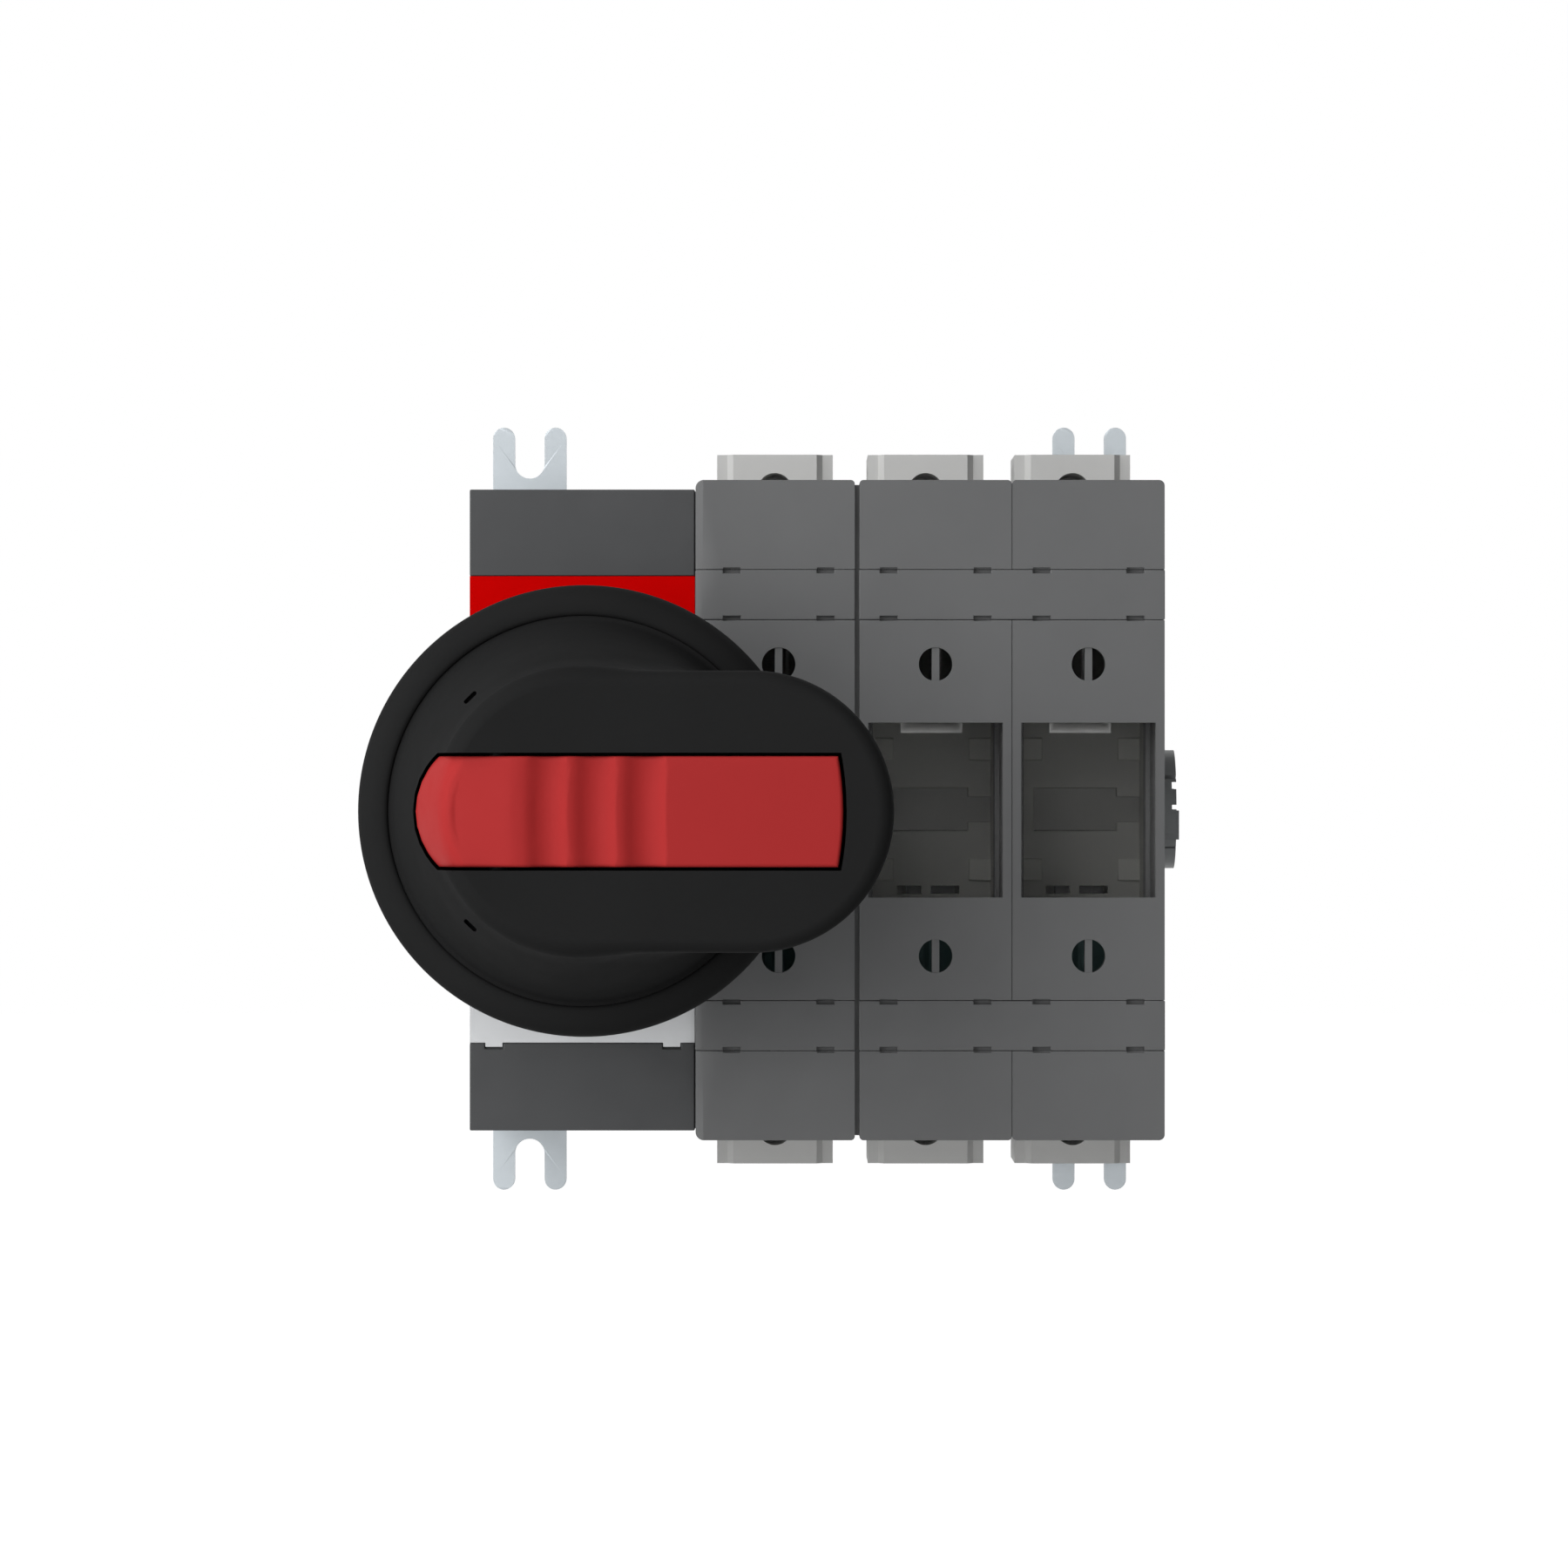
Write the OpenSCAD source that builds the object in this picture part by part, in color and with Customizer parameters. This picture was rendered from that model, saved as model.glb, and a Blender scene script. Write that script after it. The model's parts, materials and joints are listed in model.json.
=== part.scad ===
// Three-pole switch fuse for a back plate, with its rotary handle on a square extension shaft.
// X runs to the right, Z up, and the wall is the plane Y = 0, so a depth d lies at Y = -d.
// The origin is midway between the four mounting slots, on the wall.

/* [Poles] */
// Width of one pole
pole_w = 26.4; // [25.4:0.2:28]
// Height over the terminal covers
pole_h = 114; // [112:1:122]
// Depth from the wall to the front of the fuse covers
body_d = 74; // [72:0.5:80]
// Extra flange on the left of the one-pole housing
flange_w = 1.2; // [0.6:0.1:2]
// Gap between the one-pole and the two-pole housing
module_gap = 0.7; // [0.3:0.1:1.2]
// Outer wall of the housings
wall = 2.0; // [1.6:0.1:2.2]
// Height of a terminal cover's front
shroud_h = 15.4; // [14:0.2:17]
// Depth at which the terminal covers end
shroud_d = 30.8; // [30.6:0.1:31.4]
// Wall of a terminal cover
shroud_t = 1.4; // [1:0.1:1.8]
// Height of the band between terminal cover and fuse cover
band_h = 8.7; // [7.5:0.1:10]

/* [Mechanism] */
// Width of the mechanism block
mech_w = 39; // [36:0.5:44]
// Height of the mechanism block
mech_h = 111; // [104:1:116]
// How far the mechanism's front lies behind the fuse covers
mech_step = 4; // [2:0.5:5]
// Depth of the mechanism's front cover
mech_cover_d = 8; // [6:0.5:10]
// Height of the label plate
label_h = 81.2; // [76:0.2:86]
// Thickness of the label plate
label_t = 0.8; // [0.5:0.1:1.2]
// Height of the red stripe at its top
stripe_h = 7.6; // [4:0.2:12]
// Distance of the handle shaft from the left side
shaft_inset = 21; // [19.5:0.1:21.5]

/* [Fuse compartment] */
// Depth of its floor
floor_d = 38; // [37:0.2:40]
// Thickness of the floor
floor_t = 2.5; // [2:0.1:2.8]
// Width of the window
window_w = 23.2; // [20:0.2:23.4]
// Height of the window
window_h = 30.2; // [24:0.2:34]
// Thickness of the fuse cover
cover_t = 3.9; // [3.4:0.1:4.4]
// Thickness of the window pane
pane_t = 1.5; // [1:0.1:1.8]
// Diameter of the test probe holes
probe_dia = 5.8; // [4:0.1:7]
// Height of the test probe holes above and below the middle
probe_z = 25.2; // [23:0.1:26.5]
// Width of the bar across each test probe hole
probe_bar = 1.3; // [0.8:0.1:1.6]
// Diameter of the fuse-link's caps
fuse_dia = 14; // [12:0.2:14.4]
// Thickness of the fuse clips
clip_t = 0.9; // [0.7:0.05:1.2]
// Width of a fuse clip, along the fuse
clip_w = 11; // [8:0.5:12]

/* [Feet] */
// Width of a mounting slot
slot_w = 5.4; // [4.5:0.1:6.2]
// Width of each tine beside a slot
tine_w = 4.0; // [3:0.1:5]
// Distance between the slots' closed ends
slot_span = 120.6; // [118:0.2:124]
// Height over the tips of the feet
foot_h = 139.2; // [136:0.2:146]
// Thickness of the feet
foot_t = 2.0; // [1.5:0.1:2.5]
// Distance of the left foot's middle from the left side
foot_left = 8; // [7.5:0.1:9]
// Distance of the right foot's middle from the right side
foot_right = 10; // [9:0.1:12]

/* [Pole bases] */
// Width of a pole's base
base_w = 20.8; // [20:0.1:21.2]
// Height over the base's ends
base_h = 127.4; // [125:0.2:129]
// Depth of the ends that stand out past the housing
base_end_d = 23; // [12:0.5:25]
// How far the bases lie to the left of the poles' middles
base_shift = 0.7; // [0:0.1:1]

/* [Terminals] */
// Thickness of the copper bars
bar_t = 1.5; // [1.2:0.1:1.8]
// Width of a clamp cage
cage_w = 14; // [13:0.2:16]
// Height of a clamp cage
cage_h = 8; // [6:0.2:8.6]
// Diameter of a clamp screw
screw_dia = 5; // [4:0.1:6]
// Diameter of a clamp screw's head
screw_head = 9; // [7:0.1:10]

/* [Drive] */
// Radius of the cross shaft
cross_r = 4.5; // [4:0.1:4.6]
// Module of the racks and their pinions
rack_m = 1.0; // [0.96:0.01:1.0]
// Running clearance of shafts and pins
run = 0.06; // [0.03:0.01:0.1]
// Pitch radius of the bevel gears
bevel_r = 10.5; // [10:0.1:11]
// Width of the square handle shaft
square_w = 6; // [5:0.1:7]
// Radius of the side hub
hub_r = 10.6; // [9:0.1:12]
// How far the side hub stands out
hub_out = 4.6; // [3:0.1:6]

/* [Handle] */
// Depth of the handle's back, where a door's face would be
door_d = 112; // [108:1:130]
// Diameter of the base plate
plate_dia = 75.5; // [72:0.5:80]
// Thickness of the base plate at its inner edge
plate_t = 6; // [5:0.1:7]
// Width of its rim, outside the turning dome
rim_w = 5.45; // [5:0.05:8]
// Radius of the dome where it meets the flat front
dome_top_r = 20.8; // [19:0.1:21.4]
// Distance from the shaft to the tip of the grip
grip_reach = 51.4; // [48:0.2:60]
// Width of the grip
grip_w = 46; // [42:0.5:50]
// Height of the grip's front above the door
grip_rise = 34; // [33:0.2:36]
// Rounding of the grip's front edge
grip_edge = 2.5; // [1.5:0.1:3.6]
// Width of the padlock lever
lever_w = 18.1; // [16:0.1:20]
// Radius of the lever's rounded pivot end
lever_end_r = 12.8; // [12:0.1:13.4]
// Depth of the finger grooves
groove_h = 1.3; // [0.6:0.1:1.8]
// Spacing of the finger grooves
groove_pitch = 8.1; // [7:0.1:9]

/* [Hidden] */
$fn = 64;
eps = 0.01;
gap = 0.1;
soft_gap = 0.3;

mech_d = body_d - mech_step;

// Places along X, from the left side of the mechanism
single_w = pole_w + flange_w;
body_w = mech_w + gap + single_w + module_gap + 2 * pole_w;
left_x = -(body_w - foot_left - foot_right) / 2 - foot_left;
mech_right = left_x + mech_w;
single_x = mech_right + gap;
double_x = single_x + single_w + module_gap;
right_x = double_x + 2 * pole_w;
foot_left_x = left_x + foot_left;
foot_right_x = right_x - foot_right;
handle_x = left_x + shaft_inset;
function pole_x(i) = i == 1 ? double_x - module_gap - pole_w / 2 : double_x + (i - 1.5) * pole_w;

// Heights from the middle
top_z = pole_h / 2;
term_z = top_z - shroud_h;
fuse_z = term_z - band_h;
band_wall = 4.9;
comp_z = term_z - gap - band_wall;

// The fuse compartment
comp_w = 23.2;
ledge_d = body_d - 18;
ledge_w = 0.95;
cover_back = body_d - cover_t;
jaw_r = fuse_dia / 2 + clip_t;
jaw_d = floor_d + clip_t + jaw_r;
clip_mid_z = 23.5;
clip_end_z = 13.6;

// Depths of the contact layers behind the compartment floor
floor_back = floor_d - floor_t;
carriage_front = floor_back - soft_gap;
carriage_t = 3.0;
carriage_back = carriage_front - carriage_t;
bridge_t = 1.4;
bridge_back = carriage_back - bridge_t;
pad_t = 1.2;
pad_front = bridge_back - 0.2;
base_front = pad_front - pad_t;

// The rack and pinion of each pole: a quarter turn of the shaft lowers the carriage by the travel
teeth = 12;
pinion_r = rack_m * teeth / 2;
travel = pinion_r * PI / 2;
rack_add = 0.68 * rack_m;
rack_line = carriage_back - 1.2 * rack_m - 0.1;
cross_d = rack_line - pinion_r;

// The contacts: fixed pads side by side, and a bridge that lies over both when the switch is on
pad_in = comp_z - 11.6;
pad_out = comp_z - 0.6;
bridge_h = 5.5;
head_h = bridge_h + 0.8;
bridge_on_z = (pad_in + pad_out) / 2 - 0.3;
top_bridge_z = bridge_on_z + travel;
bottom_bridge_z = travel - bridge_on_z;
bar_leg_z = term_z + 1.9;
base_end_z = [bar_leg_z + bar_t + 0.6, top_z - gap];
base_lip_d = shroud_d - 1.4;
pad_x = [1.5, 8];
leg_x = 5.2;

// The terminal clamps
bar_front = shroud_d + 15.7;
cage_t = 1.5;
cage_back = bar_front - bar_t - 11;
cage_front = bar_front + 4.5;
cage_z = bar_leg_z + bar_t + 1.3;
cable_w = 10;
screw_top = cage_front + 5;
screw_head_h = 3.6;
screw_slot_d = 1.6;

// The bevel gears and the shafts through the mechanism
bevel_teeth = 14;
bevel_face = 5;
bevel_top = cross_d + bevel_r;
gear_hub_r = 7;
bush_top = mech_d + 10;
collar_r = 11;
collar_top = mech_d + 8;
label_notch_x = 15.4;
label_notch_w = 3;
shaft_back = bevel_top + 3;

// The handle, from the door's face outward
dome_r = plate_dia / 2 - rim_w;
dome_foot = [dome_r, door_d + plate_t - 0.8];
dome_shoulder = [dome_top_r + 3.2, door_d + grip_rise - 4.8];
plate_rim_t = 1.6;
plate_screw_r = dome_r - 7.3;
gasket_w = 6;
gasket_t = 1.2;
plate_floor = 3.5;
plate_inner_r = dome_r + 0.3;
neck_r = 8.9;
neck_back = door_d - 6;
dome_back = door_d + plate_floor + soft_gap;
grip_under = door_d + plate_t + 3;
grip_front = door_d + grip_rise;
tip_x = handle_x + grip_reach - grip_w / 2;
pivot_x = handle_x - dome_r + 6.0 + lever_end_r;
end_clear = 1.5;
pivot_d = grip_front - lever_end_r;
lever_clear = 0.3;
lever_right = tip_x + 14.7;
lever_back = pivot_d - 3;
lever_swing_r = sqrt(lever_end_r * lever_end_r + pow(pivot_d - lever_back, 2)) + lever_clear;
lever_tip_r = 50;
lever_plan_r = 12;
pin_r = 1.5;
shaft_front = door_d + 14;

tie_r = 2;
tie_rear = [7, top_z - 7];
tie_front = [mech_d - mech_cover_d / 2 - 1.6, (fuse_z + term_z) / 2];
tie_head = 3.6;

// A box between two places along X, two depths and two heights
module block(x, d, z) {
    translate([x[0], -d[1], z[0]])
        cube([x[1] - x[0], d[1] - d[0], z[1] - z[0]]);
}

// The same box at the top and, mirrored, at the bottom
module block_pair(x, d, z) {
    for (side = [0, 1])
        mirror([0, 0, side])
            block(x, d, z);
}

// A round bar along X
module rod_x(r, x, d, z) {
    translate([x[0], -d, z])
        rotate([0, 90, 0])
            cylinder(r = r, h = x[1] - x[0]);
}

// A round bar that points out from the wall
module rod_y(r, d, x, z) {
    translate([x, -d[0], z])
        rotate([90, 0, 0])
            cylinder(r = r, h = d[1] - d[0]);
}

// An outline in X and Z, made solid between two depths
module slab(d) {
    translate([0, -d[0], 0])
        rotate([90, 0, 0])
            linear_extrude(d[1] - d[0])
                children();
}

// An outline in Y and Z, made solid between two places along X
module rib(x) {
    translate([x[0], 0, 0])
        rotate([90, 0, 90])
            linear_extrude(x[1] - x[0])
                children();
}

// A profile of radius and depth, turned about the handle's shaft
module turned(x = handle_x) {
    translate([x, 0, 0])
        rotate([90, 0, 0])
            rotate_extrude()
                children();
}

// A rectangle whose corners on the far side are rounded
module round_top(x, z, r_left, r_right) {
    difference() {
        translate([x[0], z[0]])
            square([x[1] - x[0], z[1] - z[0]]);
        translate([x[0] - eps, z[1] - r_left])
            square([r_left + eps, r_left + eps]);
        translate([x[1] - r_right, z[1] - r_right])
            square([r_right + eps, r_right + eps]);
    }
    translate([x[0] + r_left, z[1] - r_left])
        circle(r_left);
    translate([x[1] - r_right, z[1] - r_right])
        circle(r_right);
}

// A rectangle with a half round end at its top
module u_slot(x, z, w) {
    translate([x - w / 2, z])
        square([w, foot_h]);
    translate([x, z])
        circle(w / 2);
}

// Holes for the four tie bolts that hold the blocks together
module tie_holes(x, r = tie_r + 0.15) {
    for (tie = [tie_rear, tie_front], side = [-1, 1])
        rod_x(r, x, tie[0], side * tie[1]);
}

// The seats of the bolts' heads, sunk from a side of the body at a place along X
module tie_seats(x) {
    for (tie = [tie_rear, tie_front], side = [-1, 1])
        rod_x(tie_head + 0.3, [x - 1.4, x + 1.4], tie[0], side * tie[1]);
}

// A notch for the cross shaft, open towards the wall
module cross_notch(x, r) {
    rod_x(r, x, cross_d, 0);
    block(x, [-eps, cross_d], [-r, r]);
}

// One mounting foot: a steel strip behind the body with a slot between two tines at each end
module mounting_foot(x) {
    w = slot_w + 2 * tine_w;
    tip_r = tine_w / 2;
    color([0.80, 0.83, 0.85])
        slab([0, foot_t])
            difference() {
                translate([x - w / 2, -foot_h / 2 + tip_r])
                    square([w, foot_h - 2 * tip_r]);
                for (side = [0, 1])
                    mirror([0, side])
                        u_slot(x, slot_span / 2 + slot_w / 2, slot_w);
            }
    color([0.80, 0.83, 0.85])
        for (side = [-1, 1], tine = [-1, 1])
            rod_y(tip_r, [0, foot_t], x + tine * (slot_w + tine_w) / 2, side * (foot_h / 2 - tip_r));
}

// The recess in a block's back for a mounting foot
module foot_recess(x) {
    w = slot_w + 2 * tine_w + 0.2;
    block([x - w / 2, x + w / 2], [-eps, foot_t + gap], [-foot_h / 2, foot_h / 2]);
}

// The mechanism's rear shell, with the bearings of both shafts
module mechanism_base() {
    half = mech_h / 2;
    front = mech_d - mech_cover_d;
    web_d = bevel_top + 14;
    color([0.30, 0.31, 0.32])
        difference() {
            union() {
                difference() {
                    block([left_x, mech_right], [0, front], [-half, half]);
                    block([left_x + wall, mech_right - wall], [foot_t + 2, front + eps], [wall - half, half - wall]);
                }
                block([left_x + wall - eps, mech_right - wall + eps], [web_d, web_d + 3], [-half + 1, half - 1]);
                rod_x(cross_r + 2.5, [left_x + 1, left_x + 7], cross_d, 0);
                block([left_x + 1, left_x + 7], [1, cross_d], [-cross_r - 2.5, cross_r + 2.5]);
            }
            rod_x(cross_r + run, [left_x + 3.5, mech_right + 1], cross_d, 0);
            rod_y(gear_hub_r + run, [web_d - 1, web_d + 4], handle_x, 0);
            tie_holes([left_x - 1, mech_right + 1]);
            tie_seats(left_x);
            foot_recess(foot_left_x);
        }
}

// The mechanism's front cover, with a shallow seat for the label plate and a collar for the shaft
module mechanism_cover() {
    half = mech_h / 2;
    back = mech_d - mech_cover_d + gap / 2;
    seat = mech_d - label_t;
    color([0.30, 0.31, 0.32])
        difference() {
            union() {
                block([left_x, mech_right], [back, mech_d], [-half, half]);
                rod_y(collar_r, [mech_d - 2, collar_top], handle_x, 0);
            }
            block([left_x + wall, mech_right - wall], [back - eps, mech_d - 3], [wall - half, half - wall]);
            block([left_x - eps, mech_right + eps], [seat, mech_d + eps], [0.2 - label_h / 2, label_h / 2]);
            rod_y(gear_hub_r + run, [mech_d - 4, collar_top + 1], handle_x, 0);
            tie_holes([left_x - 1, mech_right + 1]);
            tie_seats(left_x);
            for (side = [-1, 1])
                block([handle_x - 1.4 + side * label_notch_x - label_notch_w / 2 - gap,
                       handle_x - 1.4 + side * label_notch_x + label_notch_w / 2 + gap],
                      [seat, mech_d + eps], [-label_h / 2 - 0.8, 0]);
        }
    color([0.30, 0.31, 0.32])
        difference() {
            rod_y(collar_r, [seat - 1, collar_top], handle_x, 0);
            rod_y(gear_hub_r + run, [mech_d - 4, collar_top + 1], handle_x, 0);
        }
}

// The outline that the label plate and the stripe are cut from
module label_outline(z) {
    difference() {
        union() {
            translate([left_x, z[0]])
                square([mech_w, z[1] - z[0]]);
            if (z[0] < 0)
                for (side = [-1, 1])
                    translate([handle_x - 1.4 + side * label_notch_x - label_notch_w / 2, z[0] - 0.7])
                        square([label_notch_w, 1]);
        }
        translate([handle_x, 0])
            circle(collar_r + gap);
    }
}

// The silver label plate below the stripe
module front_plate() {
    color([0.80, 0.81, 0.82])
        slab([mech_d - label_t, mech_d - 0.1])
            label_outline([0.3 - label_h / 2, label_h / 2 - stripe_h]);
}

// The red stripe across the top of the label
module red_stripe() {
    color([0.75, 0.02, 0.02])
        slab([mech_d - label_t, mech_d - 0.1])
            label_outline([label_h / 2 - stripe_h, label_h / 2 - 0.1]);
}

// The slope along the one-pole housing's left front edge
module left_edge() {
    translate([0, 0, -top_z - 1])
        linear_extrude(2 * top_z + 2)
            polygon([[single_x - 1, -body_d - 1], [single_x + 1.5, -body_d - 1], [single_x + 1.3, -body_d],
                     [single_x, -body_d + 0.9], [single_x - 1, -body_d + 0.9]]);
}

// What every pole cuts out of its housing
module pole_cuts(x) {
    half = comp_w / 2;
    // The fuse compartment, with a ledge down each side
    block([x - half, x + half], [ledge_d, body_d + 1], [-fuse_z, fuse_z]);
    block([x - half + ledge_w, x + half - ledge_w], [floor_d, ledge_d + eps], [-comp_z, comp_z]);
    block([x - half, x + half], [ledge_d, body_d - 14], [-comp_z, comp_z]);
    // The T-shaped recess in its floor, and the slot below it
    block([x - 8.2, x + 6.5], [floor_d - 0.8, floor_d + eps], [-3.8, 3.8]);
    block([x + 6.4, x + half - ledge_w], [floor_d - 0.8, floor_d + eps], [-2.3, 2.3]);
    block([x - 6, x - 1.8], [floor_back - 1, floor_d + eps], [-15, -13.6]);
    block([x - 0.1, x + 4.9], [floor_back - 1, floor_d + eps], [-15, -13.6]);
    // Space behind the floor for the carriage, its rack and the pinion
    block([x - 8.6, x + 8.6], [-eps, floor_back], [-bar_leg_z - bar_t - 0.4, bar_leg_z + bar_t + 0.4]);
    // The seat of the pole's base
    block([x - base_shift - base_w / 2 - gap, x - base_shift + base_w / 2 + gap], [-eps, base_front + gap],
          [-base_end_z[0], base_end_z[0]]);
    block_pair([x - base_shift - base_w / 2 - gap, x - base_shift + base_w / 2 + gap], [-eps, base_lip_d + gap],
               [base_end_z[0] - gap, top_z + 1]);
    // The ways through the floor for the bars and the clips' legs
    block_pair([x - pad_x[1] - gap, x - pad_x[0] + gap], [0, shroud_d + 20], [bar_leg_z - gap, bar_leg_z + bar_t + gap]);
    block([x + leg_x - gap, x + pad_x[1] + gap], [0, floor_d + eps], [pad_in - gap, pad_in + bar_t + gap]);
    block([x + pad_x[0] - gap, x + pad_x[1] + gap], [0, floor_d + eps], [-pad_out - gap, bar_t + gap - pad_out]);
    // The notches that the covers' hooks and a screwdriver use
    for (hook = [-1, 1])
        block_pair([x + hook * 8.1 - 1.5, x + hook * 8.1 + 1.5], [body_d - 3, body_d + 1], [fuse_z - eps, fuse_z + 0.6]);
    for (hook = [-1, 1])
        block_pair([x + hook * 8.1 - 1.5, x + hook * 8.1 + 1.5], [body_d - 3, body_d + 1], [term_z - gap - 0.6, term_z + 1]);
}

// Four small pads on the floor of a compartment
module floor_pads(x) {
    inner = comp_w / 2 - ledge_w;
    for (side = [-1, 1])
        block_pair([x + (side < 0 ? -inner - 0.5 : 6.7), x + (side < 0 ? -6.7 : inner + 0.5)],
                   [floor_d - 0.5, floor_d + 0.7], [8.8, 12.6]);
}

// A housing for one or more poles: a deep block behind, and a shallower one between the terminal covers
module pole_housing(x, poles) {
    color([0.40, 0.41, 0.42])
        difference() {
            union() {
                difference() {
                    union() {
                        block(x, [0, shroud_d - gap], [-top_z, top_z]);
                        block(x, [shroud_d - 1, cover_back], [gap - term_z, term_z - gap]);
                        block_pair(x, [cover_back - 1, body_d], [fuse_z, term_z - gap]);
                    }
                    for (i = poles)
                        pole_cuts(pole_x(i));
                }
                for (i = poles)
                    floor_pads(pole_x(i));
            }
            cross_notch([x[0] - 1, x[1] + 1], cross_r + 0.2);
            tie_holes([x[0] - 1, x[1] + 1]);
            foot_recess(foot_right_x);
        }
}

module pole_housing_single() {
    difference() {
        pole_housing([single_x, double_x - module_gap], [1]);
        left_edge();
    }
}

module pole_housing_double() {
    difference() {
        pole_housing([double_x, right_x], [2, 3]);
        tie_seats(right_x);
    }
}

// The outline of a base's ends: a raised face with sloping sides between two flanges
module base_end_outline(x) {
    half = base_w / 2;
    face = 7.5;
    bevel = 1.05;
    step = base_end_d - 1.3;
    polygon([
        [x - half, 0], [x + half, 0], [x + half, -step], [x + face + bevel, -step], [x + face, -base_end_d],
        [x - face, -base_end_d], [x - face - bevel, -step], [x - half, -step]
    ]);
}

// A pole's light grey base: it carries the shaft and the fixed contacts, and its ends show past the covers
module pole_base(i) {
    x = pole_x(i);
    shifted = x - base_shift;
    half = base_w / 2;
    color([0.70, 0.71, 0.70])
        difference() {
            union() {
                block([shifted - half, shifted + half], [0, base_front], [-base_end_z[0] - eps, base_end_z[0] + eps]);
                block_pair([shifted - half, shifted + half], [0, base_lip_d], base_end_z);
                translate([0, 0, -base_h / 2])
                    linear_extrude(base_h)
                        base_end_outline(shifted);
            }
            // The bed of the cross shaft, open to the front, and the pinion's pocket
            rod_x(cross_r + run, [x - half - 2, x + half + 2], cross_d, 0);
            block([x - half - 2, x + half + 2], [cross_d, base_front + 1], [-cross_r - run, cross_r + run]);
            rod_x(pinion_r + 1.3, [x - 3.4, x + 3.4], cross_d, 0);
            block([x - 3.4, x + 3.4], [cross_d, base_front + 1], [-pinion_r - 1.3, pinion_r + 1.3]);
            // The screw holes in its ends
            for (side = [-1, 1])
                rod_y(3.1, [8, base_end_d + 1], shifted, side * (top_z + 0.3));
            tie_holes([x - half - 2, x + half + 2]);
            foot_recess(foot_right_x);
        }
}

// A clip-on cover over one terminal, drawn for the top end
module terminal_cover_shape(i) {
    x = pole_x(i);
    left = x - pole_w / 2 - (i == 1 ? flange_w : 0) + gap / 2;
    right = x + pole_w / 2 - gap / 2;
    color([0.41, 0.42, 0.43])
        difference() {
            slab([shroud_d, body_d])
                round_top([left, right], [term_z, top_z], i == 1 ? 1.4 : 0.7, i == 3 ? 1.0 : 0.7);
            slab([shroud_d - 1, body_d - shroud_t])
                translate([left + shroud_t, term_z - 1])
                    square([right - left - 2 * shroud_t, shroud_h + 1 - shroud_t]);
            left_edge();
            // The cable's way in
            block([x - cable_w / 2, x + cable_w / 2], [cage_back, cage_back + 11], [top_z - 3, top_z + 1]);
            // Screwdriver notches in line with those of the housing
            for (hook = [-1, 1])
                block([x + hook * 8.1 - 1.5, x + hook * 8.1 + 1.5], [body_d - 1, body_d + 1], [term_z - 1, term_z + 0.3]);
        }
}

module terminal_cover(i, side) {
    mirror([0, 0, side < 0 ? 1 : 0])
        terminal_cover_shape(i);
}

// A copper bar from the clamp down to the fixed contact, drawn for the top end
module terminal_bar(i, side) {
    x = pole_x(i);
    tab_z = bar_leg_z + bar_t;
    color([0.78, 0.74, 0.66])
        mirror([0, 0, side < 0 ? 1 : 0]) {
            block([x - 4.5, x + 4.5], [bar_front - bar_t, bar_front], [bar_leg_z, top_z - shroud_t - 0.6]);
            block([x - pad_x[1], x + 4.5], [shroud_d + 6, bar_front], [bar_leg_z, tab_z]);
            block([x - pad_x[1], x - pad_x[0]], [base_front, shroud_d + 6 + eps], [bar_leg_z, tab_z]);
            block([x - pad_x[1], x - pad_x[0]], [base_front, pad_front], [pad_in, bar_leg_z + eps]);
        }
}

// A steel cage that pulls the cable up against the bar
module terminal_clamp(i, side) {
    x = pole_x(i);
    half = cage_w / 2;
    color([0.72, 0.73, 0.74])
        mirror([0, 0, side < 0 ? 1 : 0])
            difference() {
                block([x - half, x + half], [cage_back - cage_t, cage_front], [cage_z, cage_z + cage_h]);
                block([x - half + cage_t, x + half - cage_t], [cage_back, cage_front - 2.2],
                      [cage_z - 1, cage_z + cage_h + 1]);
                rod_y(screw_dia / 2, [cage_front - 3, cage_front + 1], x, cage_z + cage_h / 2);
            }
}

// The six clamp screws, each with a slot in its head
module clamp_screws() {
    z = cage_z + cage_h / 2;
    color([0.62, 0.63, 0.64])
        for (i = [1:3], side = [-1, 1])
            difference() {
                union() {
                    rod_y(screw_dia / 2, [bar_front, screw_top + eps], pole_x(i), side * z);
                    rod_y(min(screw_head, 2 * (top_z - shroud_t - z) - 0.4) / 2, [screw_top, screw_top + screw_head_h],
                          pole_x(i), side * z);
                }
                block([pole_x(i) - screw_dia, pole_x(i) + screw_dia],
                      [screw_top + screw_head_h - screw_slot_d, screw_top + screw_head_h + 1],
                      [side * z - 0.6, side * z + 0.6]);
            }
}

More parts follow.
